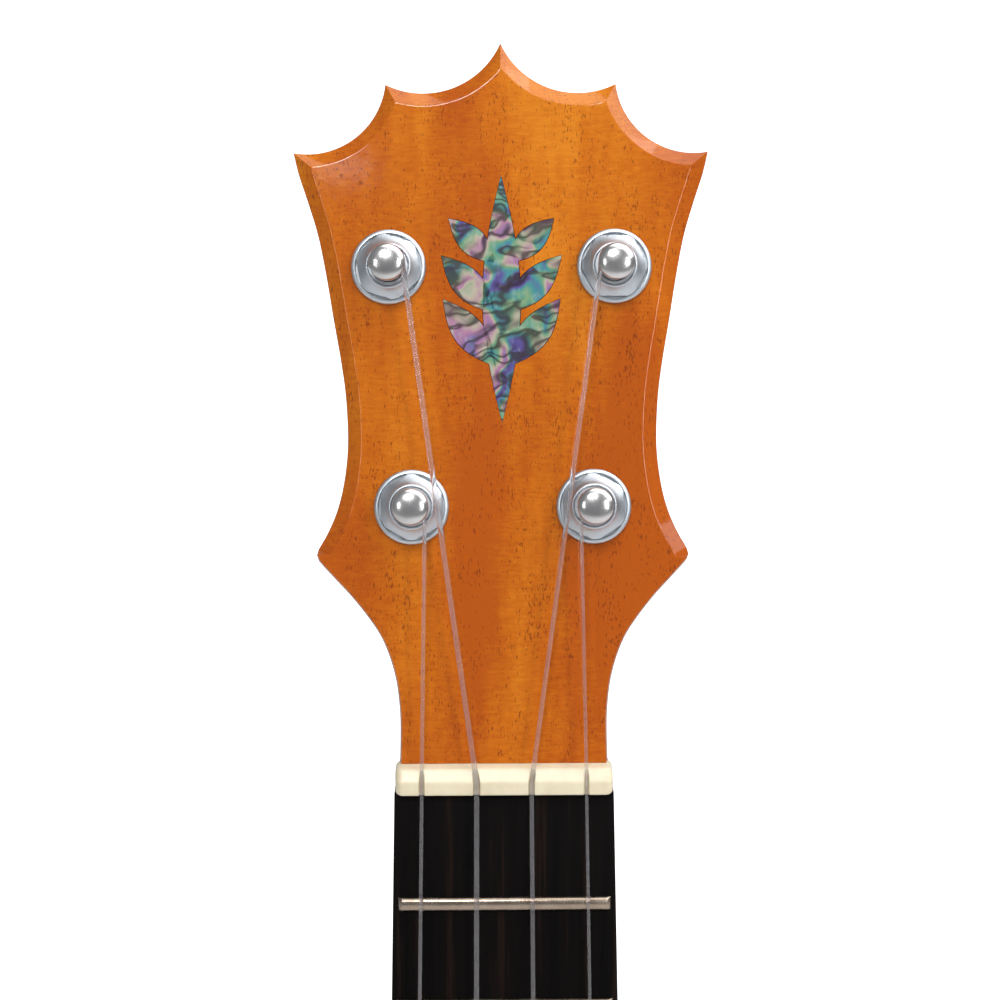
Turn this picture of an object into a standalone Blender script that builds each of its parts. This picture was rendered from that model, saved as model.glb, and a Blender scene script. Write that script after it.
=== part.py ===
"""A soprano ukulele as separate pieces, head upwards.

The origin lies on the centre line where the strings leave the nut: +Z runs up the neck
to the head, -Y is the string side, and +X is to the right of someone facing the strings.
"""

import math

import bmesh
import bpy
import numpy as np
from mathutils import Matrix, Vector

mm = 0.001

# Gaps between pieces
glue_gap = 0.1 * mm
running_gap = 0.12 * mm
string_gap = 0.06 * mm
slot_gap = 0.15 * mm

# Strings, from the left to the right of someone facing them
string_letters = ("g", "c", "e", "a")
string_widths = (0.70 * mm, 0.94 * mm, 0.81 * mm, 0.58 * mm)
scale_length = 350.0 * mm
saddle_setback = 2.0 * mm
nut_spacing = 9.23 * mm
saddle_spacing = 13.6 * mm
action_at_body = 2.3 * mm
string_turns = 1.75
string_pitch = 1.0 * mm
string_sides = 6
steps_per_turn = 10

# Fretboard and frets
board_thickness = 4.5 * mm
board_width_nut = 37.0 * mm
board_width_body = 45.5 * mm
board_overhang = 6.0 * mm
fret_count = 12
fret_width = 2.1 * mm
fret_height = 1.0 * mm
fret_crown_lip = 0.25 * mm
fret_end_inset = 0.9 * mm
fret_end_slope = 0.45 * mm
tang_width = 0.55 * mm
tang_depth = 1.5 * mm

# Nut
nut_width = 36.6 * mm
nut_thickness = 4.4 * mm
nut_rise = 1.5 * mm
nut_crown = 2.3 * mm
nut_back_chamfer = 0.3 * mm
nut_shoulder_rise = 0.2 * mm
nut_end_round = 0.8 * mm
string_rise_at_nut = 1.15 * mm
nut_seat_depth = 0.3 * mm

# Head
head_tilt = math.radians(12.5)
head_thickness = 13.0 * mm
veneer_thickness = 2.0 * mm
face_bevel = 2.35 * mm
face_bevel_drop = 1.5 * mm
flank_bevel_share = 0.13
back_bevel = 1.2 * mm
head_apex = (0.0, 122.2 * mm)
inner_cusp = (19.6 * mm, 115.2 * mm)
outer_cusp = (35.25 * mm, 103.6 * mm)
inner_scallop_centre = (13.25 * mm, 128.1 * mm)
outer_scallop_centre = (32.85 * mm, 116.8 * mm)
head_side = [
    (34.4, 100.0), (32.7, 94.8), (31.1, 89.4), (29.8, 82.9), (28.5, 75.0), (27.3, 68.0),
    (26.5, 61.8), (26.2, 54.2), (26.8, 48.0), (28.0, 42.9), (29.7, 38.9), (31.2, 36.3),
]
ear_tip = [(31.55, 35.2), (31.2, 34.2)]
head_flank = [
    (28.4, 31.1), (25.8, 28.3), (23.0, 24.8), (20.8, 21.5), (19.3, 18.0), (18.2, 14.0),
    (17.65, 9.7), (17.5, 5.4),
]
head_base_half_width = 17.7 * mm
head_root = 3.4 * mm

# Tuners, by their place on the head's face
upper_post = (19.1 * mm, 83.95 * mm)
lower_post = (15.4 * mm, 43.3 * mm)

# Tuner: string post and planet carrier
post_bearing_radius = 3.15 * mm
post_neck_radius = 2.65 * mm
post_waist_radius = 1.95 * mm
post_cap_radius = 3.05 * mm
post_bearing_top = 0.8 * mm
post_waist_bottom = 4.5 * mm
post_waist_top = 7.6 * mm
post_cap_side = 0.75 * mm
post_cap_dome = 0.95 * mm
post_hole_radius = 0.65 * mm
post_hole_below_cap = 0.95 * mm
wrap_start = 0.6 * mm
carrier_radius = 4.9 * mm
carrier_thickness = 1.2 * mm
planet_pin_radius = 0.7 * mm

# Tuner: gears, a fixed ring with a sun and planets, so that four turns of the button
# give one turn of the post
gear_module = 0.4 * mm
sun_teeth = 9
planet_teeth = 9
planet_count = 2
pressure_angle = math.radians(28.0)
gear_addendum = 0.8
gear_dedendum = 1.0
tooth_backlash = 0.055 * mm
root_spread = 0.02
gear_length = 3.3 * mm

# Tuner: case, drive shaft, nut and button
case_radius = 7.6 * mm
case_wall = 1.2 * mm
barrel_radius = 4.1 * mm
barrel_hole_gap = 0.3 * mm
shaft_radius = 2.2 * mm
shaft_collar_radius = 3.2 * mm
shaft_collar_thickness = 0.8 * mm
shaft_square = 3.2 * mm
shaft_square_length = 8.0 * mm
flange_radius = 6.35 * mm
flange_thickness = 1.1 * mm
hex_across_flats = 10.0 * mm
hex_height = 2.6 * mm
hex_chamfer = 0.9 * mm
nut_mouth_radius = 3.5 * mm
nut_mouth_thickness = 0.7 * mm
button_length = 16.0 * mm
button_width = 19.0 * mm
button_thickness = 8.0 * mm
button_stem_radius = 4.6 * mm
turned_sides = 20
small_sides = 8

# Body
saddle_to_tail = 63.0 * mm
side_depth = 51.0 * mm
side_thickness = 1.8 * mm
side_seam = 0.3 * mm
top_thickness = 1.8 * mm
back_thickness = 1.8 * mm
shoulder_half_width = 24.5 * mm
upper_bout_half_width = 65.0 * mm
waist_half_width = 53.5 * mm
lower_bout_half_width = 85.0 * mm
soundhole_radius = 24.0 * mm
soundhole_from_top = 83.0 * mm
neck_block_width = 46.0 * mm
neck_block_length = 20.0 * mm
tail_block_half_width = 24.0 * mm
tail_block_length = 14.0 * mm
lining_room = 0.2 * mm

# Neck
neck_depth_nut = 12.5 * mm
neck_depth_body = 15.0 * mm
heel_length = 26.0 * mm
heel_depth = 47.0 * mm
heel_foot_half_width = 8.5 * mm
tenon_width = 16.0 * mm
tenon_depth = 30.0 * mm
tenon_length = 11.0 * mm
tenon_from_top = 7.5 * mm
tenon_root = 1.5 * mm

# Bridge and saddle
bridge_width = 78.0 * mm
bridge_front = 9.5 * mm
bridge_back = 13.0 * mm
bridge_height = 6.2 * mm
bridge_step_height = 4.2 * mm
bridge_edge_height = 2.2 * mm
tie_block_length = 6.5 * mm
tie_hole_radius = 0.9 * mm
tie_hole_height = 4.4 * mm
string_tail = 1.6 * mm
saddle_width = 62.0 * mm
saddle_thickness = 2.6 * mm
saddle_seat = 2.6 * mm
bridge_end_slope = 3.0 * mm

# Inner bars
brace_width = 6.0 * mm
brace_height = 8.0 * mm
brace_above_soundhole = 12.0 * mm
patch_width = 92.0 * mm
patch_length = 32.0 * mm
patch_thickness = 1.6 * mm
back_brace_from_top = 118.0 * mm
brace_end_room = 3.0 * mm

# Head inlay: a sprig of leaves about one upright stem
inlay_thickness = 1.1 * mm
inlay_gap = 0.1 * mm
inlay_middle = (0.0, 78.5 * mm)
stem_leaf = (0.0, -21.0, 42.0, 6.4, 90.0)
side_leaves = [
    (1.0, -11.5, 14.5, 5.2, 52.0), (1.0, -2.5, 13.5, 5.0, 47.0), (1.0, 6.0, 11.0, 4.4, 44.0),
]
leaf_points = 6

# Sizes that follow from those above
board_half_nut = board_width_nut / 2
board_half_body = board_width_body / 2
neck_end = -scale_length / 2
body_length = scale_length / 2 + saddle_setback + saddle_to_tail
body_bottom = neck_end - body_length
saddle_z = -(scale_length + saddle_setback)
neck_top = board_thickness + glue_gap
top_front = neck_top
top_back = top_front + top_thickness
side_front = top_back + glue_gap
side_back = side_front + side_depth
back_front = side_back + glue_gap
back_back = back_front + back_thickness
inner_front = side_front + lining_room
inner_back = side_back - lining_room
soundhole_z = neck_end - soundhole_from_top
head_origin = Vector((0.0, board_thickness - veneer_thickness / math.cos(head_tilt),
                      nut_thickness + glue_gap))
head_turn = (math.pi / 2 - head_tilt, 0.0, 0.0)
head_matrix = Matrix.Translation(head_origin) @ Matrix.Rotation(head_turn[0], 4, "X")
ring_teeth = sun_teeth + 2 * planet_teeth
planet_orbit = gear_module * (sun_teeth + planet_teeth) / 2
case_front = -head_thickness - glue_gap
barrel_top = flange_thickness + hex_height - nut_mouth_thickness - running_gap
carrier_front = case_front - case_wall - running_gap
carrier_back = carrier_front - carrier_thickness
gear_front = carrier_back - running_gap
gear_back = gear_front - gear_length
collar_front = gear_back - running_gap
collar_back = collar_front - shaft_collar_thickness
cavity_back = collar_back - running_gap
case_back = cavity_back - case_wall
button_front = case_back - 2 * running_gap
body_string_rise = fret_height + action_at_body
saddle_string_rise = string_rise_at_nut + (body_string_rise - string_rise_at_nut) * 2 * (
    1 + saddle_setback / scale_length
)


def clear_scene():
    for obj in list(bpy.data.objects):
        bpy.data.objects.remove(obj, do_unlink=True)


def make_material(name, colour, roughness, metallic=0.0):
    material = bpy.data.materials.new(name)
    material.use_nodes = True
    shader = material.node_tree.nodes["Principled BSDF"]
    shader.inputs["Base Color"].default_value = (*colour, 1.0)
    shader.inputs["Roughness"].default_value = roughness
    shader.inputs["Metallic"].default_value = metallic
    material.diffuse_color = (*colour, 1.0)
    return material


def amber_wood():
    return make_material("amber_wood", (0.62, 0.26, 0.06), 0.25)


def pale_wood():
    return make_material("pale_wood", (0.72, 0.52, 0.30), 0.6)


def dark_wood():
    return make_material("dark_wood", (0.03, 0.022, 0.018), 0.45)


def cream_bone():
    return make_material("cream_bone", (0.86, 0.82, 0.68), 0.35)


def shell():
    return make_material("shell", (0.30, 0.48, 0.46), 0.2)


def fret_wire():
    return make_material("fret_wire", (0.75, 0.74, 0.70), 0.25, 1.0)


def bright_metal():
    return make_material("bright_metal", (0.82, 0.82, 0.84), 0.18, 1.0)


def satin_metal():
    return make_material("satin_metal", (0.66, 0.66, 0.67), 0.35, 1.0)


def gear_brass():
    return make_material("gear_brass", (0.78, 0.60, 0.28), 0.3, 1.0)


def button_plastic():
    return make_material("button_plastic", (0.03, 0.03, 0.03), 0.2)


def clear_nylon():
    return make_material("clear_nylon", (0.80, 0.74, 0.72), 0.2)


def ring_mesh(name, rings):
    """Closed mesh through rings of equal point counts, capped at both ends."""
    bm = bmesh.new()
    made = [[bm.verts.new(point) for point in ring] for ring in rings]
    count = len(rings[0])
    for first, second in zip(made, made[1:]):
        for i in range(count):
            j = (i + 1) % count
            bm.faces.new((first[i], first[j], second[j], second[i]))
    bm.faces.new(made[0])
    bm.faces.new(made[-1])
    return finish_mesh(name, bm)


def finish_mesh(name, bm):
    bmesh.ops.recalc_face_normals(bm, faces=bm.faces)
    bm.normal_update()
    mesh = bpy.data.meshes.new(name)
    bm.to_mesh(mesh)
    bm.free()
    return mesh


def place(name, mesh, material=None, parent=None, at=(0.0, 0.0, 0.0)):
    obj = bpy.data.objects.new(name, mesh)
    bpy.context.scene.collection.objects.link(obj)
    obj.location = at
    obj.parent = parent
    if material and not mesh.materials:
        mesh.materials.append(material)
    return obj


def round_shade(mesh):
    mesh.shade_smooth()
    mesh.set_sharp_from_angle(angle=math.radians(35.0))
    return mesh


def make_cutter(name, mesh, parent=None, at=(0.0, 0.0, 0.0)):
    cutter = place(name, mesh, parent=parent, at=at)
    cutter.hide_render = True
    cutter.display_type = "WIRE"
    return cutter


def add_boolean(obj, other, operation="DIFFERENCE"):
    modifier = obj.modifiers.new(other.name, "BOOLEAN")
    modifier.operation = operation
    modifier.object = other
    modifier.solver = "EXACT"


def combined(name, mesh, others, operation="DIFFERENCE"):
    """The mesh after cutting with, or joining, the other meshes."""
    base = place("base", mesh)
    helpers = [place("helper", other) for other in others]
    for helper in helpers:
        add_boolean(base, helper, operation)
    bpy.context.view_layer.update()
    graph = bpy.context.evaluated_depsgraph_get()
    result = bpy.data.meshes.new_from_object(base.evaluated_get(graph))
    result.name = name
    for helper in (base, *helpers):
        bpy.data.objects.remove(helper, do_unlink=True)
    return result


def prism(name, outline, low, high, plane):
    """An outline of pairs pushed from low to high, across the plane that it lies in."""
    return ring_mesh(name, [[plane(a, b, level) for a, b in outline] for level in (low, high)])


def flat_xz(a, b, level):
    return (a, level, b)


def flat_xy(a, b, level):
    return (a, b, level)


def flat_yz(a, b, level):
    return (level, b, a)


def circle(radius, sides, centre=(0.0, 0.0), start=0.0):
    angles = [start + 2 * math.pi * i / sides for i in range(sides)]
    return [(centre[0] + radius * math.cos(t), centre[1] + radius * math.sin(t)) for t in angles]


def turned(name, profile, sides):
    """A turned piece about Z: (radius, height) pairs from one end to the other."""
    rings = [[(x, y, height) for x, y in circle(radius, sides)] for radius, height in profile]
    return round_shade(ring_mesh(name, rings))


def turned_tube(name, profile, sides):
    """A turned piece with a bore: a closed loop of (radius, height) pairs."""
    bm = bmesh.new()
    rings = [
        [bm.verts.new((x, y, height)) for x, y in circle(radius, sides)]
        for radius, height in profile
    ]
    for first, second in zip(rings, rings[1:] + rings[:1]):
        for i in range(sides):
            j = (i + 1) % sides
            bm.faces.new((first[i], first[j], second[j], second[i]))
    return round_shade(finish_mesh(name, bm))


def box(name, low, high):
    return prism(
        name,
        [(low[0], low[2]), (high[0], low[2]), (high[0], high[2]), (low[0], high[2])],
        low[1], high[1], flat_xz,
    )


def smooth_through(points, steps):
    """Points on a smooth curve through the given ones, with steps for each stretch."""
    knots = [Vector(p) for p in points]
    ends = [2 * knots[0] - knots[1]] + knots + [2 * knots[-1] - knots[-2]]
    curve = []
    for before, a, b, after in zip(ends, ends[1:], ends[2:], ends[3:]):
        for i in range(steps):
            t = i / steps
            curve.append(
                0.5 * (2 * a + (b - before) * t + (2 * before - 5 * a + 4 * b - after) * t * t
                       + (3 * a - before - 3 * b + after) * t * t * t)
            )
    curve.append(knots[-1])
    return [tuple(p) for p in curve]


def arc_between(start, end, centre, steps):
    """Points from start to end about a centre, the short way round."""
    a = math.atan2(start[1] - centre[1], start[0] - centre[0])
    b = math.atan2(end[1] - centre[1], end[0] - centre[0])
    turn = (b - a + math.pi) % (2 * math.pi) - math.pi
    r_a = math.dist(start, centre)
    r_b = math.dist(end, centre)
    points = []
    for i in range(steps + 1):
        t = i / steps
        r = r_a + (r_b - r_a) * t
        points.append((centre[0] + r * math.cos(a + turn * t), centre[1] + r * math.sin(a + turn * t)))
    return points


def resampled(points, count):
    """The same line with evenly spaced points."""
    line = np.array(points)
    along = np.concatenate([[0.0], np.cumsum(np.linalg.norm(np.diff(line, axis=0), axis=1))])
    at = np.linspace(0.0, along[-1], count)
    return np.column_stack([np.interp(at, along, line[:, 0]), np.interp(at, along, line[:, 1])])


def moved_left(line, distance):
    """Each point moved to the left of the line's direction."""
    step = np.gradient(line, axis=0)
    step /= np.linalg.norm(step, axis=1)[:, None]
    return line + distance * np.column_stack([-step[:, 1], step[:, 0]])


def crossing(first, second):
    """Where two lines of points cross, as a place along each; their ends if they don't."""
    best = (len(first) - 1.0, 0.0)
    found = None
    for i in range(len(first) - 1):
        a = first[i]
        d = first[i + 1] - a
        c = second[:-1]
        e = second[1:] - c
        span = d[0] * e[:, 1] - d[1] * e[:, 0]
        gap = c - a
        with np.errstate(divide="ignore", invalid="ignore"):
            s = (gap[:, 0] * e[:, 1] - gap[:, 1] * e[:, 0]) / span
            t = (gap[:, 0] * d[1] - gap[:, 1] * d[0]) / span
        hits = np.where((s >= 0) & (s <= 1) & (t >= 0) & (t <= 1))[0]
        if len(hits):
            found = (i + float(s[hits[0]]), float(hits[0] + t[hits[0]]))
    return found or best


def stretch_of(line, low, high, count):
    at = np.linspace(low, high, count)
    index = np.arange(len(line))
    return np.column_stack([np.interp(at, index, line[:, 0]), np.interp(at, index, line[:, 1])])


def inset_outline(pieces, distances, counts):
    """The closed outline with each piece moved inwards, cut cleanly at their corners.

    Each piece keeps its own number of points, so that two insets of one outline can be
    joined point to point.
    """
    fine = 160
    moved = [moved_left(resampled(piece, fine), away) for piece, away in zip(pieces, distances)]
    low = [0.0] * len(moved)
    high = [fine - 1.0] * len(moved)
    for i in range(len(moved)):
        j = (i + 1) % len(moved)
        high[i], low[j] = crossing(moved[i], moved[j])
    points = []
    for line, a, b, count in zip(moved, low, high, counts):
        points += [tuple(p) for p in stretch_of(line, a, b, count + 1)[:-1]]
    return points


# ---- head outline -------------------------------------------------------------------


def mirrored(points):
    return [(-x, y) for x, y in reversed(points)]


def head_pieces():
    """The head's outline in pieces that run anticlockwise, with a corner between each."""
    scaled_side = [outer_cusp] + [(x * mm, y * mm) for x, y in head_side + ear_tip[:1]]
    side = smooth_through(scaled_side, 5)
    flank_knots = ear_tip + head_flank
    flank = smooth_through([(x * mm, y * mm) for x, y in flank_knots]
                           + [(head_base_half_width, -head_root)], 5)
    inner = arc_between(head_apex, inner_cusp, inner_scallop_centre, 12)
    outer = arc_between(inner_cusp, outer_cusp, outer_scallop_centre, 12)
    right = [flank[::-1], side[::-1], outer[::-1], inner[::-1]]
    left = [mirrored(piece) for piece in reversed(right)]
    base = [(-head_base_half_width, -head_root), (head_base_half_width, -head_root)]
    return [base] + right + left


head_counts = [2, 9, 13, 7, 7, 7, 7, 13, 9]


def head_outline(inset, lower_share=1.0):
    """The head's outline moved inwards, by a smaller share at its base and flanks."""
    lower = inset * lower_share
    distances = [lower, lower] + [inset] * (len(head_counts) - 3) + [lower]
    return inset_outline(head_pieces(), distances, head_counts)


def tuner_places():
    """Each string's post, as its place on the face and the side that the string passes."""
    return {
        "g": (-lower_post[0], lower_post[1], 1),
        "c": (-upper_post[0], upper_post[1], 1),
        "e": (upper_post[0], upper_post[1], -1),
        "a": (lower_post[0], lower_post[1], -1),
    }


def post_holes(name, front, back, parent):
    """Cutters for the four barrels, from a height in front of a plate to one behind it."""
    cutters = []
    for letter, (x, y, _) in tuner_places().items():
        profile = [(barrel_radius + barrel_hole_gap, front), (barrel_radius + barrel_hole_gap, back)]
        mesh = turned(f"{name}_{letter}", profile, turned_sides)
        cutters.append(make_cutter(f"{name}_{letter}", mesh, parent, (x, y, 0.0)))
    return cutters


def leaf_outline(x, y, length, width, degrees, grow):
    """A leaf with pointed ends, from its foot, as two arcs that meet at the ends."""
    turn = math.radians(degrees)
    along = Vector((math.cos(turn), math.sin(turn)))
    across = Vector((-along.y, along.x))
    foot = Vector((x * mm + inlay_middle[0], y * mm + inlay_middle[1])) - along * grow
    reach = length * mm + 2 * grow
    swell = width * mm / 2 + grow
    edge = []
    for side in (1, -1):
        for i in range(leaf_points):
            t = i / leaf_points if side > 0 else 1 - i / leaf_points
            point = foot + along * reach * t + across * side * swell * math.sin(math.pi * t)
            edge.append((point.x, point.y))
    return edge


def sprig_mesh(name, low, high, grow):
    """The stem and its pairs of leaves as one solid."""
    leaves = [stem_leaf] + side_leaves + [(-x, y, l, w, 180 - a) for x, y, l, w, a in side_leaves]
    solids = [
        prism(f"{name}_{i}", leaf_outline(*leaf, grow), low, high, flat_xy)
        for i, leaf in enumerate(leaves)
    ]
    return combined(name, solids[0], solids[1:], "UNION")


def make_nut_seat():
    """The room that the nut takes from the neck and from the veneer's lower end."""
    mesh = box("nut_seat", (-nut_width, -10.0 * mm, -glue_gap),
               (nut_width, neck_top + nut_seat_depth, nut_thickness + glue_gap))
    return make_cutter("nut_seat", mesh)


def make_veneer(head, wood, nut_seat):
    rings = []
    for inset, height in (
        (0.0, -veneer_thickness), (0.0, -face_bevel_drop), (face_bevel, 0.0),
    ):
        rings.append([(x, y, height) for x, y in head_outline(inset, flank_bevel_share)])
    veneer = place("head_veneer", ring_mesh("head_veneer", rings), wood, head)
    for cutter in post_holes("veneer_hole", mm, -veneer_thickness - mm, head):
        add_boolean(veneer, cutter)
    add_boolean(veneer, nut_seat)
    pocket_floor = -inlay_thickness - inlay_gap
    pocket = sprig_mesh("inlay_pocket", pocket_floor, mm, inlay_gap)
    add_boolean(veneer, make_cutter("inlay_pocket", pocket, head))


def make_inlay(head, pearl):
    place("head_inlay", sprig_mesh("head_inlay", -inlay_thickness, 0.0, 0.0), pearl, head)


# ---- neck ---------------------------------------------------------------------------


def board_half_width(z):
    """The fretboard widens steadily from the nut to the body."""
    return board_half_nut + (board_half_body - board_half_nut) * z / neck_end


def neck_section(z, depth, foot):
    """Half a turn under the fretboard, from one edge to the other, at a height z."""
    half = board_half_width(min(z, 0.0))
    if z > 0:
        half += (head_base_half_width - half) * z / nut_thickness
    points = []
    steps = 12
    for i in range(steps + 1):
        t = math.pi * i / steps
        fall = math.sin(t) ** 0.75
        reach = half + (foot - half) * foot_share(depth) * fall
        points.append((reach * math.cos(t), neck_top + depth * fall, z))
    return points


def foot_share(depth):
    """How far a section has narrowed towards the heel's foot."""
    return max(0.0, min(1.0, (depth - neck_depth_body) / (heel_depth - neck_depth_body)))


def head_core_mesh():
    rings = []
    for inset, height in (
        (0.0, -veneer_thickness - glue_gap),
        (0.0, back_bevel - head_thickness),
        (back_bevel, -head_thickness),
    ):
        rings.append([head_matrix @ Vector((x, y, height)) for x, y in head_outline(inset)])
    return ring_mesh("head_core", rings)


def shaft_mesh():
    """The neck's shaft, from inside the head to the heel's flat end at the body."""
    stations = [
        (nut_thickness - 0.3 * mm, neck_depth_nut * 0.84),
        (nut_thickness * 0.4, neck_depth_nut * 0.97),
        (-8.0 * mm, neck_depth_nut),
        (neck_end * 0.4, neck_depth_nut * 0.6 + neck_depth_body * 0.4),
        (neck_end + heel_length * 1.6, neck_depth_body),
        (neck_end + heel_length, neck_depth_body * 1.06),
    ]
    steps = 6
    for i in range(1, steps + 1):
        t = i / steps
        depth = neck_depth_body * 1.06 + (heel_depth - neck_depth_body * 1.06) * t ** 2.4
        stations.append((neck_end + heel_length * (1 - t) + glue_gap * t, depth))
    rings = [neck_section(z, depth, heel_foot_half_width) for z, depth in stations]
    return ring_mesh("neck_shaft", rings)


def tenon_box(name, grow):
    half = tenon_width / 2 + grow
    return box(
        name,
        (-half, neck_top + tenon_from_top - grow, neck_end - tenon_length - grow),
        (half, neck_top + tenon_from_top + tenon_depth + grow, neck_end + tenon_root),
    )


def make_neck(head, wood, nut_seat):
    mesh = combined("neck", head_core_mesh(), [shaft_mesh(), tenon_box("tenon", 0.0)], "UNION")
    neck = place("neck", mesh, wood)
    for cutter in post_holes("neck_hole", 0.0, -head_thickness - mm, head):
        add_boolean(neck, cutter)
    add_boolean(neck, nut_seat)


# ---- fretboard, frets and nut -------------------------------------------------------


def fret_place(number):
    """Each fret leaves the open string's length times the twelfth root of a half, again."""
    return -scale_length * (1 - 2 ** (-number / 12))


def taper_sides(mesh, inset):
    """Moves points at -1 and +1 across to the fretboard's edges, less an inset."""
    for vertex in mesh.vertices:
        vertex.co.x *= board_half_width(vertex.co.z) - inset
    return mesh


def make_fretboard(wood):
    """A comb outline seen from the side, with a slot for each tang, pushed across."""
    slot_half = tang_width / 2 + glue_gap / 2
    floor = tang_depth + glue_gap
    outline = [(-glue_gap, board_thickness), (-glue_gap, 0.0)]
    for number in range(1, fret_count + 1):
        z = fret_place(number)
        outline += [(z + slot_half, 0.0), (z + slot_half, floor),
                    (z - slot_half, floor), (z - slot_half, 0.0)]
    end = neck_end - board_overhang
    outline += [(end, 0.0), (end, board_thickness)]
    mesh = prism("fretboard", outline, -1.0, 1.0, flat_yz)
    place("fretboard", taper_sides(mesh, 0.0), wood)


def fret_section(z):
    """A low crown on a narrow tang, seen from the side."""
    half = fret_width / 2
    crown = []
    steps = 6
    for i in range(steps + 1):
        t = math.pi * i / steps
        crown.append((z + half * math.cos(t),
                      -fret_crown_lip - (fret_height - fret_crown_lip) * math.sin(t)))
    tang = tang_width / 2
    return crown + [(z - half, -glue_gap / 2), (z - tang, -glue_gap / 2), (z - tang, tang_depth),
                    (z + tang, tang_depth), (z + tang, -glue_gap / 2), (z + half, -glue_gap / 2)]


def make_fret(number, metal):
    z = fret_place(number)
    mesh = prism(f"fret_{number:02d}", fret_section(z), -1.0, 1.0, flat_yz)
    for vertex in mesh.vertices:
        slope = fret_end_slope * max(0.0, -vertex.co.y) / fret_height
        vertex.co.x *= board_half_width(z) - fret_end_inset - slope
    place(f"fret_{number:02d}", round_shade(mesh), metal)


def string_x(index, spacing):
    return (index - (len(string_letters) - 1) / 2) * spacing


def nut_slot(index):
    """A cutter with a round floor that follows one string over the nut, open upwards."""
    radius = string_widths[index] / 2 + slot_gap
    crest, bend, beyond = [Vector(p) for p in string_route(index)[-wrap_points() - 2:][:3]]
    far = bend + (beyond - bend).normalized() * 2 * nut_thickness
    steps = 6
    rings = []
    for centre in (crest - Vector((0.0, 0.0, 2 * mm)), bend, far):
        ring = []
        for i in range(steps + 1):
            t = math.pi * i / steps
            ring.append((centre.x + radius * math.cos(t), centre.y + radius * math.sin(t), centre.z))
        ring += [(centre.x - radius, -3 * nut_rise, centre.z), (centre.x + radius, -3 * nut_rise, centre.z)]
        rings.append(ring)
    letter = string_letters[index]
    return make_cutter(f"nut_slot_{letter}", ring_mesh(f"nut_slot_{letter}", rings))


def make_nut(bone):
    floor = board_thickness + nut_seat_depth
    outline = [
        (0.0, floor), (0.0, nut_back_chamfer - nut_rise), (nut_back_chamfer, -nut_rise),
        (nut_crown, -nut_rise), (nut_thickness, -nut_shoulder_rise), (nut_thickness, floor),
    ]
    mesh = prism("nut", outline, -nut_width / 2, nut_width / 2, flat_yz)
    nut = place("nut", mesh, bone)
    bevel = nut.modifiers.new("ends", "BEVEL")
    bevel.width = nut_end_round / 4
    bevel.segments = 2
    bevel.limit_method = "ANGLE"
    bevel.angle_limit = math.radians(60.0)
    for index in range(len(string_letters)):
        add_boolean(nut, nut_slot(index))


# ---- tuners -------------------------------------------------------------------------


def involute(angle):
    return math.tan(angle) - angle


def gear_outline(teeth, outer, inner, thinning, start=0.0):
    """A gear's outline, with its flanks on the involute down to the base circle."""
    pitch = gear_module * teeth / 2
    base = pitch * math.cos(pressure_angle)
    half_at_pitch = math.pi / (2 * teeth) - thinning / pitch
    flank_low = max(inner, base)

    def half_angle(radius):
        """Half the tooth's angle at a radius."""
        swing = math.acos(min(1.0, base / radius))
        return half_at_pitch + involute(pressure_angle) - involute(swing)

    points = []
    for tooth in range(teeth):
        middle = start + 2 * math.pi * tooth / teeth
        low = half_angle(flank_low)
        high = half_angle(outer)
        corners = [(flank_low, -low), (outer, -high), (outer, high), (flank_low, low)]
        if inner < flank_low:
            corners = [(inner, -low - root_spread)] + corners + [(inner, low + root_spread)]
        for radius, angle in corners:
            points.append((radius * math.cos(middle + angle), radius * math.sin(middle + angle)))
    return points


def pinion_outline(teeth):
    pitch = gear_module * teeth / 2
    return gear_outline(teeth, pitch + gear_addendum * gear_module,
                        pitch - gear_dedendum * gear_module, tooth_backlash)


def ring_outline():
    """The hollow inside the ring gear: a toothed outline a little fatter than its mate."""
    pitch = gear_module * ring_teeth / 2
    return gear_outline(ring_teeth, pitch + gear_dedendum * gear_module,
                        pitch - gear_addendum * gear_module, -tooth_backlash)


def case_mesh():
    """A drum behind the head with the ring gear inside, and a barrel through the head."""
    bore = post_bearing_radius + running_gap
    profile = [
        (barrel_radius, barrel_top), (barrel_radius, case_front), (case_radius, case_front),
        (case_radius, case_back + 0.6 * mm), (case_radius - 0.6 * mm, case_back),
        (shaft_radius + running_gap, case_back), (shaft_radius + running_gap, cavity_back + 0.2 * mm),
        (bore, case_front - case_wall - 0.2 * mm), (bore, barrel_top),
    ]
    hollow = prism("gear_room", ring_outline(), cavity_back, case_front - case_wall, flat_xy)
    mesh = combined("gear_case", turned_tube("case_turned", profile, turned_sides), [hollow])
    return round_shade(mesh)


def drive_shaft_mesh():
    """The sun gear, its collar behind the planets, and a square end for the button."""
    square = shaft_square / 2
    square_back = button_front - shaft_square_length
    turned_part = turned(
        "shaft_turned",
        [(shaft_collar_radius, collar_front), (shaft_collar_radius, collar_back),
         (shaft_radius, collar_back), (shaft_radius, button_front + glue_gap)],
        turned_sides,
    )
    sun = prism("sun", pinion_outline(sun_teeth), collar_front - 0.3 * mm, gear_front, flat_xy)
    end = box("square_end", (-square, -square, square_back), (square, square, collar_back - 0.4 * mm))
    return combined("drive_shaft", turned_part, [sun, end], "UNION")


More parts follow.
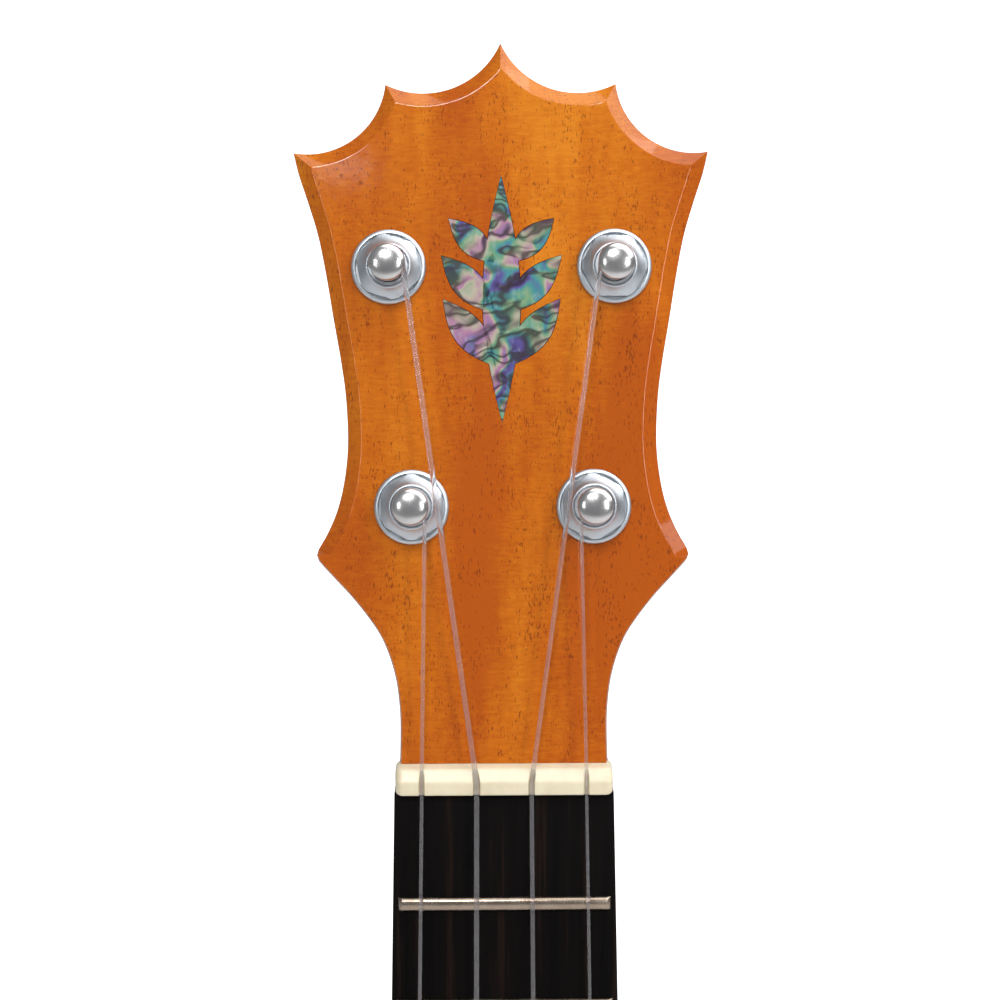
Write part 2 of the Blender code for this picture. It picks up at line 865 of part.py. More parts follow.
def post_mesh():
    """The string post, its bearing in the barrel, and the disc that carries the planets."""
    cap_bottom = post_waist_top + 0.25 * mm
    cap_top = cap_bottom + post_cap_side
    profile = [
        (carrier_radius, carrier_back), (carrier_radius, carrier_front),
        (post_bearing_radius, carrier_front), (post_bearing_radius, post_bearing_top),
        (post_neck_radius, post_bearing_top + 0.3 * mm), (post_neck_radius, post_waist_bottom - 0.4 * mm),
        (post_waist_radius, post_waist_bottom), (post_waist_radius, post_waist_top - 0.2 * mm),
        (post_cap_radius, cap_bottom), (post_cap_radius, cap_top),
    ]
    steps = 2
    for i in range(1, steps + 1):
        t = math.pi / 2 * i / (steps + 0.5)
        profile.append((post_cap_radius * math.cos(t), cap_top + post_cap_dome * math.sin(t)))
    body = turned("post_turned", profile, turned_sides)
    pins = []
    for x, y in circle(planet_orbit, planet_count):
        outline = circle(planet_pin_radius, small_sides, (x, y))
        pins.append(prism("planet_pin", outline, gear_back + running_gap, carrier_back + 0.4 * mm, flat_xy))
    whole = combined("string_post", body, pins, "UNION")
    height = post_waist_top - post_hole_below_cap
    hole = prism("string_hole", circle(post_hole_radius, small_sides, (0.0, height)),
                 -2 * post_cap_radius, 2 * post_cap_radius, flat_yz_upright)
    return round_shade(combined("string_post", whole, [hole]))


def flat_yz_upright(a, b, level):
    return (level, a, b)


def planet_mesh():
    outline = pinion_outline(planet_teeth)
    solid = prism("planet", outline, gear_back, gear_front, flat_xy)
    bore = prism("planet_bore", circle(planet_pin_radius + running_gap, small_sides),
                 gear_back - mm, gear_front + mm, flat_xy)
    return combined("planet", solid, [bore])


def bushing_nut_mesh():
    """A hexagon with a turned chamfer on a round flange, closing over the barrel's end."""
    bottom = glue_gap
    top = flange_thickness + hex_height
    bore = barrel_radius + running_gap
    corner = hex_across_flats / 2 / math.cos(math.pi / 6)
    turned_form = turned_tube(
        "nut_turned",
        [(bore, bottom), (flange_radius, bottom), (flange_radius, flange_thickness * 0.7),
         (flange_radius - 0.5 * mm, flange_thickness), (corner - 0.02 * mm, flange_thickness + 0.01 * mm),
         (corner - 0.02 * mm, top - hex_chamfer), (nut_mouth_radius + 0.3 * mm, top),
         (nut_mouth_radius, top), (nut_mouth_radius, top - nut_mouth_thickness),
         (bore, top - nut_mouth_thickness)],
        turned_sides,
    )
    flats = []
    for i in range(6):
        t = math.pi / 3 * i
        out = Vector((math.cos(t), math.sin(t)))
        side = Vector((-out.y, out.x))
        near = out * hex_across_flats / 2
        far = out * flange_radius * 1.5
        reach = side * flange_radius
        outline = [tuple(near - reach), tuple(far - reach), tuple(far + reach), tuple(near + reach)]
        flats.append(prism(f"flat_{i}", outline, flange_thickness + 0.05 * mm, top + mm, flat_xy))
    return combined("bushing_nut", turned_form, flats)


def button_ring(width, thickness, height, count, power=2.6):
    """A rounded oblong at a height, from its full width and thickness."""
    points = []
    for i in range(count):
        t = 2 * math.pi * i / count
        c = math.cos(t)
        s = math.sin(t)
        points.append((width / 2 * math.copysign(abs(c) ** (2 / power), c),
                       thickness / 2 * math.copysign(abs(s) ** (2 / power), s), height))
    return points


def square_ring(size, height, count):
    """Points round a square, one for each of a ring's."""
    points = []
    for i in range(count):
        t = 2 * math.pi * i / count
        c = math.cos(t)
        s = math.sin(t)
        scale = size / 2 / max(abs(c), abs(s))
        points.append((c * scale, s * scale, height))
    return points


def button_mesh():
    """A flattened paddle on a round stem, with a square blind hole for the shaft."""
    count = 16
    stem = 2 * button_stem_radius
    neck = stem * 0.72
    back = button_front - button_length
    shape = [
        (0.0, stem, stem, 2.0), (0.10, stem, stem, 2.0), (0.24, neck * 1.06, neck, 2.1),
        (0.44, button_width * 0.8, button_thickness * 0.84, 2.4),
        (0.62, button_width, button_thickness, 2.4), (0.80, button_width * 0.94, button_thickness, 2.4),
        (0.94, button_width * 0.66, button_thickness * 0.74, 2.3),
        (1.0, button_width * 0.3, button_thickness * 0.34, 2.0),
    ]
    rings = [
        button_ring(width, thickness, button_front + (back - button_front) * share, count, power)
        for share, width, thickness, power in shape
    ]
    hole = shaft_square + 2 * glue_gap
    floor = button_front - shaft_square_length - glue_gap
    rings = [square_ring(hole, floor, count), square_ring(hole, button_front, count)] + rings
    return round_shade(ring_mesh("button", rings))


def make_tuners(head, metals):
    bright, satin, brass, plastic = metals
    meshes = {
        "gear_case": (case_mesh(), satin), "drive_shaft": (drive_shaft_mesh(), satin),
        "string_post": (post_mesh(), bright), "bushing_nut": (bushing_nut_mesh(), satin),
        "button": (button_mesh(), plastic),
    }
    planet = planet_mesh()
    for letter, (x, y, _) in tuner_places().items():
        axis = bpy.data.objects.new(f"tuner_axis_{letter}", None)
        bpy.context.scene.collection.objects.link(axis)
        axis.empty_display_size = 5 * mm
        axis.parent = head
        axis.location = (x, y, 0.0)
        for name, (mesh, material) in meshes.items():
            place(f"{name}_{letter}", mesh, material, axis)
        for number, (px, py) in enumerate(circle(planet_orbit, planet_count), 1):
            place(f"planet_{number}_{letter}", planet, brass, axis, (px, py, 0.0))


# ---- strings ------------------------------------------------------------------------


def string_height(z):
    """How far the string's middle line stands in front of the fretboard's face."""
    return string_rise_at_nut + (body_string_rise - string_rise_at_nut) * 2 * (-z) / scale_length


def wrap_points():
    return int(string_turns * steps_per_turn) + 1


def string_route(index):
    """From behind the tie block, over the saddle and the nut, then round the post."""
    letter = string_letters[index]
    x, y, side = tuner_places()[letter]
    radius = string_widths[index] / 2
    x_nut = string_x(index, nut_spacing)
    x_saddle = string_x(index, saddle_spacing)
    tie_y = top_front - tie_hole_height
    tie_back = saddle_z - bridge_back - string_tail
    tie_front = saddle_z - bridge_back + tie_block_length
    rest = -saddle_string_rise
    points = [
        (x_saddle, tie_y, tie_back), (x_saddle, tie_y, tie_front + 0.3 * mm),
        (x_saddle, rest + 0.35 * mm, saddle_z - saddle_thickness / 2 - 0.1 * mm),
        (x_saddle, rest, saddle_z - 0.3 * mm), (x_saddle, rest, saddle_z + 0.5 * mm),
        (x_nut, -string_rise_at_nut, 0.0), (x_nut, -string_rise_at_nut, nut_crown),
    ]
    turn_radius = (post_waist_radius + string_gap + radius) / math.cos(math.pi / steps_per_turn)
    level = post_waist_bottom + wrap_start
    start = Vector((x_nut, -string_rise_at_nut, nut_crown))
    local = head_matrix.inverted() @ start
    away = Vector((x - local.x, y - local.y))
    bearing = math.atan2(away.y, away.x)
    open_angle = math.acos(turn_radius / away.length)
    first = bearing + math.pi + side * open_angle
    for i in range(wrap_points()):
        t = i / steps_per_turn
        angle = first + side * 2 * math.pi * t
        rise = string_pitch * max(0.0, t - 0.1)
        local_point = (x + turn_radius * math.cos(angle), y + turn_radius * math.sin(angle), level + rise)
        points.append(tuple(head_matrix @ Vector(local_point)))
    return points


def make_string(index, nylon):
    name = f"string_{string_letters[index]}"
    points = string_route(index)
    curve = bpy.data.curves.new(name, "CURVE")
    curve.dimensions = "3D"
    curve.bevel_depth = string_widths[index] / 2
    curve.bevel_resolution = (string_sides - 4) // 2
    curve.use_fill_caps = True
    spline = curve.splines.new("POLY")
    spline.points.add(len(points) - 1)
    for point, place_at in zip(spline.points, points):
        point.co = (*place_at, 1.0)
    curve.materials.append(nylon)
    obj = bpy.data.objects.new(name, curve)
    bpy.context.scene.collection.objects.link(obj)


# ---- body ---------------------------------------------------------------------------


def body_right_edge():
    """The right half of the body's edge, from the flat shoulder down to the tail."""
    top = neck_end
    knots = [
        (shoulder_half_width, 0.0), (upper_bout_half_width * 0.72, 0.022 * body_length),
        (upper_bout_half_width * 0.92, 0.07 * body_length), (upper_bout_half_width, 0.155 * body_length),
        (upper_bout_half_width * 0.955, 0.255 * body_length),
        (waist_half_width * 1.035, 0.36 * body_length), (waist_half_width, 0.425 * body_length),
        (waist_half_width * 1.06, 0.495 * body_length), (lower_bout_half_width * 0.83, 0.595 * body_length),
        (lower_bout_half_width * 0.955, 0.68 * body_length), (lower_bout_half_width, 0.765 * body_length),
        (lower_bout_half_width * 0.955, 0.865 * body_length),
        (lower_bout_half_width * 0.79, 0.945 * body_length),
        (lower_bout_half_width * 0.5, 0.986 * body_length), (lower_bout_half_width * 0.2, 0.999 * body_length),
        (0.0, body_length),
    ]
    return smooth_through([(x, top - down) for x, down in knots], 3)


def mirrored_edge(edge):
    """The other side of an edge that ends on the centre line, without that last point."""
    return [(-x, z) for x, z in reversed(edge[:-1])]


def body_outline():
    right = body_right_edge()
    return right + mirrored_edge(right)


def make_soundboard(wood):
    mesh = prism("soundboard", body_outline(), top_front, top_back, flat_xz)
    board = place("soundboard", mesh, wood)
    outline = circle(soundhole_radius, 32, (0.0, soundhole_z))
    hole = prism("soundhole", outline, top_front - mm, top_back + mm, flat_xz)
    add_boolean(board, make_cutter("soundhole", hole))


def make_back(wood):
    place("back", prism("back", body_outline(), back_front, back_back, flat_xz), wood)


def make_sides(wood):
    """Two bent sides that meet at the tail and at the shoulder, either side of the tenon."""
    outer = body_right_edge()
    inner = [tuple(p) for p in moved_left(np.array(outer), -side_thickness)]
    seam = side_seam / 2
    inner[0] = (shoulder_half_width, neck_end - side_thickness)
    outer[-1] = (seam, body_bottom)
    inner[-1] = (seam, body_bottom + side_thickness)
    loop = [(seam, neck_end)] + outer + inner[::-1] + [(seam, neck_end - side_thickness)]
    for name, sign in (("side_right", 1), ("side_left", -1)):
        outline = [(sign * x, z) for x, z in loop]
        side = place(name, prism(name, outline, side_front, side_back, flat_xz), wood)
        add_boolean(side, make_cutter(f"{name}_tenon_slot", tenon_box(f"{name}_tenon_slot", glue_gap)))


def make_blocks(wood):
    low = (-neck_block_width / 2, inner_front, neck_end - side_thickness - glue_gap - neck_block_length)
    high = (neck_block_width / 2, inner_back, neck_end - side_thickness - glue_gap)
    block = place("neck_block", box("neck_block", low, high), wood)
    add_boolean(block, make_cutter("block_mortise", tenon_box("block_mortise", glue_gap)))
    edge = np.array(body_right_edge())
    inner = moved_left(edge, -side_thickness - glue_gap)
    order = np.argsort(inner[:, 0])
    xs = np.linspace(-tail_block_half_width, tail_block_half_width, 9)
    low_half = inner[order][inner[order][:, 1] < body_bottom + 0.2 * body_length]
    zs = np.interp(np.abs(xs), low_half[:, 0], low_half[:, 1])
    flat = body_bottom + side_thickness + glue_gap + tail_block_length
    outline = list(zip(xs, zs)) + [(tail_block_half_width, flat), (-tail_block_half_width, flat)]
    place("tail_block", prism("tail_block", outline, inner_front, inner_back, flat_xz), wood)


def bar_across(name, z, front, back, width, wood, ends):
    """A bar between the sides whose ends are planed down to a thin edge at one face."""
    edge = np.array(body_right_edge())
    down = edge[::-1]
    half = float(np.interp(z, down[:, 1], down[:, 0])) - side_thickness - brace_end_room
    tall = back - front
    shallow = tall * 0.35
    slope = 3 * tall
    if ends == "front":
        outline = [(-half, front), (half, front), (half, front + shallow),
                   (half - slope, back), (slope - half, back), (-half, front + shallow)]
    else:
        outline = [(-half, back - shallow), (slope - half, front), (half - slope, front),
                   (half, back - shallow), (half, back), (-half, back)]
    mesh = prism(name, outline, z - width / 2, z + width / 2, flat_xy)
    place(name, mesh, wood)


def make_braces(wood):
    brace_z = soundhole_z + soundhole_radius + brace_above_soundhole
    front = top_back + glue_gap
    bar_across("soundhole_brace", brace_z, front, front + brace_height, brace_width, wood, "front")
    back = back_front - glue_gap
    back_z = neck_end - back_brace_from_top
    bar_across("back_brace", back_z, back - brace_height, back, brace_width, wood, "back")
    middle = saddle_z - (bridge_back - bridge_front) / 2
    patch = box(
        "bridge_patch", (-patch_width / 2, front, middle - patch_length / 2),
        (patch_width / 2, front + patch_thickness, middle + patch_length / 2),
    )
    place("bridge_patch", patch, wood)


def make_bridge(wood):
    """A low bridge with a tie block behind the saddle, seen from the side."""
    bottom = top_front - glue_gap
    top = top_front - bridge_height
    step = top_front - bridge_step_height + 1.6 * mm
    low = top_front - bridge_edge_height
    front = saddle_z + bridge_front
    back = saddle_z - bridge_back
    lip = saddle_z + saddle_thickness / 2 + 1.6 * mm
    block = back + tie_block_length
    outline = [
        (front, bottom), (front, low), (lip, top), (saddle_z - saddle_thickness / 2 - 1.0 * mm, top),
        (saddle_z - saddle_thickness / 2 - 1.0 * mm, step), (block, step), (block, top),
        (back, top), (back, bottom),
    ]
    half = bridge_width / 2
    mesh = prism("bridge", outline, -half, half, flat_yz)
    for vertex in mesh.vertices:
        rise = (bottom - vertex.co.y) / bridge_height
        vertex.co.x -= math.copysign(bridge_end_slope * rise, vertex.co.x)
    bridge = place("bridge", mesh, wood)
    grow = glue_gap
    seat = box(
        "saddle_seat",
        (-saddle_width / 2 - grow, top - 5 * mm, saddle_z - saddle_thickness / 2 - grow),
        (saddle_width / 2 + grow, top + saddle_seat + grow, saddle_z + saddle_thickness / 2 + grow),
    )
    add_boolean(bridge, make_cutter("saddle_seat", seat))
    for index, letter in enumerate(string_letters):
        middle = (string_x(index, saddle_spacing), top_front - tie_hole_height)
        hole = prism(f"tie_hole_{letter}", circle(tie_hole_radius, small_sides, middle),
                     back - mm, block + mm, flat_xy)
        add_boolean(bridge, make_cutter(f"tie_hole_{letter}", hole))


def make_saddle(bone):
    floor = top_front - bridge_height + saddle_seat
    thickest = max(string_widths) / 2
    crest = -saddle_string_rise + thickest + string_gap
    shoulder = crest + 0.5 * mm
    half = saddle_thickness / 2
    outline = [
        (saddle_z + half, floor), (saddle_z + half, shoulder), (saddle_z + half * 0.45, crest),
        (saddle_z - half * 0.45, crest), (saddle_z - half, shoulder), (saddle_z - half, floor),
    ]
    place("saddle", prism("saddle", outline, -saddle_width / 2, saddle_width / 2, flat_yz), bone)


def main():
    clear_scene()
    head = bpy.data.objects.new("head_plane", None)
    bpy.context.scene.collection.objects.link(head)
    head.location = head_origin
    head.rotation_euler = head_turn
    bpy.context.view_layer.update()
    amber = amber_wood()
    pale = pale_wood()
    ebony = dark_wood()
    bone = cream_bone()
    nut_seat = make_nut_seat()
    make_neck(head, amber, nut_seat)
    make_veneer(head, amber, nut_seat)
    make_inlay(head, shell())
    make_fretboard(ebony)
    wire = fret_wire()
    for number in range(1, fret_count + 1):
        make_fret(number, wire)
    make_nut(bone)
    make_tuners(head, (bright_metal(), satin_metal(), gear_brass(), button_plastic()))
    nylon = clear_nylon()
    for index in range(len(string_letters)):
        make_string(index, nylon)
    make_soundboard(amber)
    make_back(amber)
    make_sides(amber)
    make_blocks(pale)
    make_braces(pale)
    make_bridge(ebony)
    make_saddle(bone)


main()
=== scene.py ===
import math

import bmesh
import bpy
import numpy as np
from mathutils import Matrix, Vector


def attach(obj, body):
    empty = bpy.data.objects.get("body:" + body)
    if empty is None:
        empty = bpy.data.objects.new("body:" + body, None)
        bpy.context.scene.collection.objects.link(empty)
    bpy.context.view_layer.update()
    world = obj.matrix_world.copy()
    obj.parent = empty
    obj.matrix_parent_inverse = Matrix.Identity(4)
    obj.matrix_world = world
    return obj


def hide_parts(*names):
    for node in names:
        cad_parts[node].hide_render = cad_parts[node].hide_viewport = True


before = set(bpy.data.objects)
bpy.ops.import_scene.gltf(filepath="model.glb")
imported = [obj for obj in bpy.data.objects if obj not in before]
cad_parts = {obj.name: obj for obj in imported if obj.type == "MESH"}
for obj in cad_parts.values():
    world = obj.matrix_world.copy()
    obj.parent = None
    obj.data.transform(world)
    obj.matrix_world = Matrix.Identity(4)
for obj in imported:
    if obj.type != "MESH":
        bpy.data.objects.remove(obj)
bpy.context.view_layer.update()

mm = 0.001

# the head's plane: its foot on the centre line, its lean, and directions up it and out of it
lean = math.radians(12.5)
sinLean = math.sin(lean)
cosLean = math.cos(lean)
boardThickness = 4.5 * mm
veneerThickness = 2.0 * mm
headFootY = boardThickness - veneerThickness / cosLean
headFootZ = 4.5 * mm

scaleLength = 350.0 * mm
neckEnd = -scaleLength / 2
bodyLength = 240.0 * mm
bodyBottom = neckEnd - bodyLength
saddleZ = -352.0 * mm
holeZ = -258.0 * mm
letters = ("g", "c", "e", "a")
tunerPlaces = {
    "g": (-15.4 * mm, 43.3 * mm, 1),
    "c": (-19.1 * mm, 83.95 * mm, 1),
    "e": (19.1 * mm, 83.95 * mm, -1),
    "a": (15.4 * mm, 43.3 * mm, -1),
}


def onHead(u, v, h):
    u, v, h = np.broadcast_arrays(u, v, h)
    y = headFootY + v * sinLean - h * cosLean
    z = headFootZ + v * cosLean + h * sinLean
    return np.stack([u, y, z], axis=-1)


def smoothThrough(knots, steps):
    # four neighbouring knots bend each stretch: half of 2a + (b-p)t + (2p-5a+4b-q)t2 + (3a-p-3b+q)t3
    knots = np.asarray(knots, float)
    ends = np.vstack([2 * knots[0] - knots[1], knots, 2 * knots[-1] - knots[-2]])
    p, a, b, q = (part[:, None, :] for part in (ends[:-3], ends[1:-2], ends[2:-1], ends[3:]))
    t = (np.arange(steps) / steps)[None, :, None]
    curve = 0.5 * (2 * a + (b - p) * t + (2 * p - 5 * a + 4 * b - q) * t**2
                   + (3 * a - p - 3 * b + q) * t**3)
    return np.vstack([curve.reshape(-1, knots.shape[1]), knots[-1:]])


def arcBetween(start, end, centre, steps):
    a = math.atan2(start[1] - centre[1], start[0] - centre[0])
    b = math.atan2(end[1] - centre[1], end[0] - centre[0])
    turn = (b - a + math.pi) % (2 * math.pi) - math.pi
    t = np.linspace(0.0, 1.0, steps + 1)
    r = math.dist(start, centre) * (1 - t) + math.dist(end, centre) * t
    angle = a + turn * t
    return np.stack([centre[0] + r * np.cos(angle), centre[1] + r * np.sin(angle)], axis=-1)


def evenly(line, count):
    along = np.concatenate([[0.0], np.cumsum(np.linalg.norm(np.diff(line, axis=0), axis=1))])
    at = np.linspace(0.0, along[-1], count)
    return np.stack([np.interp(at, along, column) for column in line.T], axis=-1)


def movedLeft(line, distance):
    step = np.gradient(line, axis=0)
    step /= np.linalg.norm(step, axis=1)[:, None]
    return line + distance * np.stack([-step[:, 1], step[:, 0]], axis=-1)


def crossing(first, second):
    # every stretch of one line against every stretch of the other
    a, d = first[:-1, None], np.diff(first, axis=0)[:, None]
    c, e = second[None, :-1], np.diff(second, axis=0)[None]
    span = d[..., 0] * e[..., 1] - d[..., 1] * e[..., 0]
    span = np.where(np.abs(span) < 1e-20, 1e-20, span)
    gap = c - a
    s = (gap[..., 0] * e[..., 1] - gap[..., 1] * e[..., 0]) / span
    t = (gap[..., 0] * d[..., 1] - gap[..., 1] * d[..., 0]) / span
    hits = np.argwhere((s >= 0) & (s <= 1) & (t >= 0) & (t <= 1))
    if len(hits) == 0:
        return len(first) - 1.0, 0.0
    i, j = hits[-1]
    return i + s[i, j], j + t[i, j]


def insetOutline(pieces, distances, counts):
    fine = 260
    moved = [movedLeft(evenly(line, fine), distance) for line, distance in zip(pieces, distances)]
    ends = [crossing(line, moved[(i + 1) % len(moved)]) for i, line in enumerate(moved)]
    parts = []
    for i, (line, count) in enumerate(zip(moved, counts)):
        at = np.linspace(ends[i - 1][1], ends[i][0], count + 1)[:-1]
        columns = [np.interp(at, np.arange(fine), column) for column in line.T]
        parts.append(np.stack(columns, axis=-1))
    return np.vstack(parts)


def loopInset(outline, distance):
    # a closed outline moved inwards, whichever way it runs
    ahead = np.roll(outline, -1, axis=0) - np.roll(outline, 1, axis=0)
    ahead /= np.linalg.norm(ahead, axis=1)[:, None]
    x, y = outline.T
    turn = np.sign(np.sum(x * np.roll(y, -1) - y * np.roll(x, -1)))
    return outline + turn * distance * np.stack([-ahead[:, 1], ahead[:, 0]], axis=-1)


def meshFrom(name, points, faces, sharp=30.0):
    mesh = bpy.data.meshes.new(name)
    mesh.from_pydata(points.tolist(), [], faces)
    tidyMesh(mesh, sharp)
    return mesh


def tidyMesh(mesh, sharp=30.0):
    bm = bmesh.new()
    bm.from_mesh(mesh)
    bmesh.ops.remove_doubles(bm, verts=bm.verts, dist=1e-7)
    bmesh.ops.recalc_face_normals(bm, faces=bm.faces)
    bm.to_mesh(mesh)
    bm.free()
    mesh.shade_smooth()
    mesh.set_sharp_from_angle(angle=math.radians(sharp))
    # wide flat faces stay flat, so that a rounded edge beside them doesn't tint them
    corners = np.zeros(len(mesh.polygons), np.int32)
    normals = np.zeros(len(mesh.polygons) * 3)
    mesh.polygons.foreach_get("loop_total", corners)
    mesh.polygons.foreach_get("normal", normals)
    normals = normals.reshape(-1, 3)
    wide = np.unique(np.round(normals[corners > 6], 4), axis=0)
    if len(wide):
        alike = (normals @ wide.T).max(axis=1) > 0.99999
        mesh.polygons.foreach_set("use_smooth", ~(alike | (corners > 6)))


def ringFaces(rows, count, joined, caps, first=0):
    index = np.arange(rows * count).reshape(rows, count) + first
    low = index if joined else index[:-1]
    high = np.roll(index, -1, axis=0) if joined else index[1:]
    quads = np.stack([low, np.roll(low, -1, axis=1), np.roll(high, -1, axis=1), high], axis=-1)
    faces = quads.reshape(-1, 4).tolist()
    if caps and not joined:
        faces += [index[0][::-1].tolist(), index[-1].tolist()]
    return faces


def ringMesh(name, rings, joined=False, caps=True, sharp=30.0):
    rings = np.asarray(rings, float)
    rows, count = rings.shape[:2]
    return meshFrom(name, rings.reshape(-1, 3), ringFaces(rows, count, joined, caps), sharp)


def placed(name, data):
    obj = bpy.data.objects.new(name, data)
    bpy.context.scene.collection.objects.link(obj)
    return obj


def combined(name, mesh, others, operation="DIFFERENCE", sharp=30.0):
    base = placed("base", mesh)
    helpers = [placed("helper", other) for other in others]
    for helper in helpers:
        modifier = base.modifiers.new("cut", "BOOLEAN")
        modifier.operation = operation
        modifier.solver = "EXACT"
        modifier.object = helper
    bpy.context.view_layer.update()
    shown = base.evaluated_get(bpy.context.evaluated_depsgraph_get())
    result = bpy.data.meshes.new_from_object(shown)
    result.name = name
    for obj in [base] + helpers:
        bpy.data.objects.remove(obj, do_unlink=True)
    tidyMesh(result, sharp)
    return result


def piece(name, mesh, material, body, nodes=()):
    obj = placed(name, mesh)
    mesh.materials.clear()
    mesh.materials.append(material)
    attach(obj, body)
    if nodes:
        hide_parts(*nodes)
    return obj


def circlePoints(radius, count, start=0.0):
    t = start + 2 * math.pi * np.arange(count) / count
    return radius * np.cos(t), radius * np.sin(t)


def turnedOnHead(profile, place, count):
    # (radius, height) pairs swept about an axis that stands on the head
    profile = np.asarray(profile, float)
    x, y = circlePoints(1.0, count)
    return onHead(place[0] + profile[:, :1] * x, place[1] + profile[:, :1] * y, profile[:, 1:])


def rounded(corners, radius, steps=4):
    # each inner corner of an open profile is replaced by a short curve; ends stay
    corners = np.asarray(corners, float)
    before, middle, after = corners[:-2], corners[1:-1], corners[2:]
    back = before - middle
    ahead = after - middle
    backLength = np.linalg.norm(back, axis=1)[:, None]
    aheadLength = np.linalg.norm(ahead, axis=1)[:, None]
    reach = np.minimum(radius, 0.45 * np.minimum(backLength, aheadLength))
    start = middle + back / backLength * reach
    end = middle + ahead / aheadLength * reach
    t = np.linspace(0.0, 1.0, steps + 1)[None, :, None]
    curve = (1 - t) ** 2 * start[:, None] + 2 * t * (1 - t) * middle[:, None] + t**2 * end[:, None]
    return np.vstack([corners[:1], curve.reshape(-1, corners.shape[1]), corners[-1:]])


def boxMesh(name, low, high):
    x = np.array([low[0], high[0], high[0], low[0]])
    z = np.array([low[2], low[2], high[2], high[2]])
    rings = [np.stack([x, np.full(4, y), z], axis=-1) for y in (low[1], high[1])]
    return ringMesh(name, rings)


def newGroup(name, inputs, outputs):
    group = bpy.data.node_groups.new(name, "ShaderNodeTree")
    for label, kind, value in inputs:
        socket = group.interface.new_socket(name=label, in_out="INPUT", socket_type=kind)
        if value is not None:
            socket.default_value = value
    for label, kind in outputs:
        group.interface.new_socket(name=label, in_out="OUTPUT", socket_type=kind)
    source = group.nodes.new("NodeGroupInput")
    target = group.nodes.new("NodeGroupOutput")
    return group, source, target


def noiseOf(tree, vector, scale, detail=2.0, rough=0.5, distortion=0.0):
    node = tree.nodes.new("ShaderNodeTexNoise")
    node.inputs["Scale"].default_value = scale
    node.inputs["Detail"].default_value = detail
    node.inputs["Roughness"].default_value = rough
    node.inputs["Distortion"].default_value = distortion
    tree.links.new(vector, node.inputs["Vector"])
    return node.outputs["Fac"]


def grain(tree, vector, scale, detail, rough=0.5, distortion=0.0, offset=(0.0, 0.0, 0.0)):
    # noise drawn out differently along each axis
    node = tree.nodes.new("ShaderNodeMapping")
    node.inputs["Scale"].default_value = scale
    node.inputs["Location"].default_value = offset
    tree.links.new(vector, node.inputs["Vector"])
    return noiseOf(tree, node.outputs["Vector"], 1.0, detail, rough, distortion)


def rampOf(tree, value, stops):
    node = tree.nodes.new("ShaderNodeValToRGB")
    ramp = node.color_ramp
    while len(ramp.elements) < len(stops):
        ramp.elements.new(0.5)
    for element, (position, colour) in zip(ramp.elements, stops):
        element.position = position
        element.color = (*colour, 1.0)
    tree.links.new(value, node.inputs["Fac"])
    return node.outputs["Color"]


def spread(tree, value, fromLow, fromHigh, toLow=0.0, toHigh=1.0):
    node = tree.nodes.new("ShaderNodeMapRange")
    ends = {"From Min": fromLow, "From Max": fromHigh, "To Min": toLow, "To Max": toHigh}
    for label, number in ends.items():
        node.inputs[label].default_value = number
    tree.links.new(value, node.inputs["Value"])
    return node.outputs["Result"]


def mathOf(tree, operation, a, b=None):
    node = tree.nodes.new("ShaderNodeMath")
    node.operation = operation
    for socket, value in zip(node.inputs, (a, b)):
        if value is None:
            continue
        if isinstance(value, (int, float)):
            socket.default_value = value
        else:
            tree.links.new(value, socket)
    return node.outputs["Value"]


def centred(tree, value, share):
    # a noise value brought to either side of nought
    return mathOf(tree, "MULTIPLY", mathOf(tree, "SUBTRACT", value, 0.5), share)


def weighed(tree, a, share, b):
    # a share of one value and the rest of another
    return mathOf(tree, "ADD", mathOf(tree, "MULTIPLY", a, share), mathOf(tree, "MULTIPLY", b, 1 - share))


def mixed(tree, factor, a, b):
    node = tree.nodes.new("ShaderNodeMix")
    node.data_type = "RGBA"
    if isinstance(factor, (int, float)):
        node.inputs[0].default_value = factor
    else:
        tree.links.new(factor, node.inputs[0])
    for socket, value in ((node.inputs[6], a), (node.inputs[7], b)):
        if isinstance(value, tuple):
            socket.default_value = (*value, 1.0)
        else:
            tree.links.new(value, socket)
    return node.outputs[2]


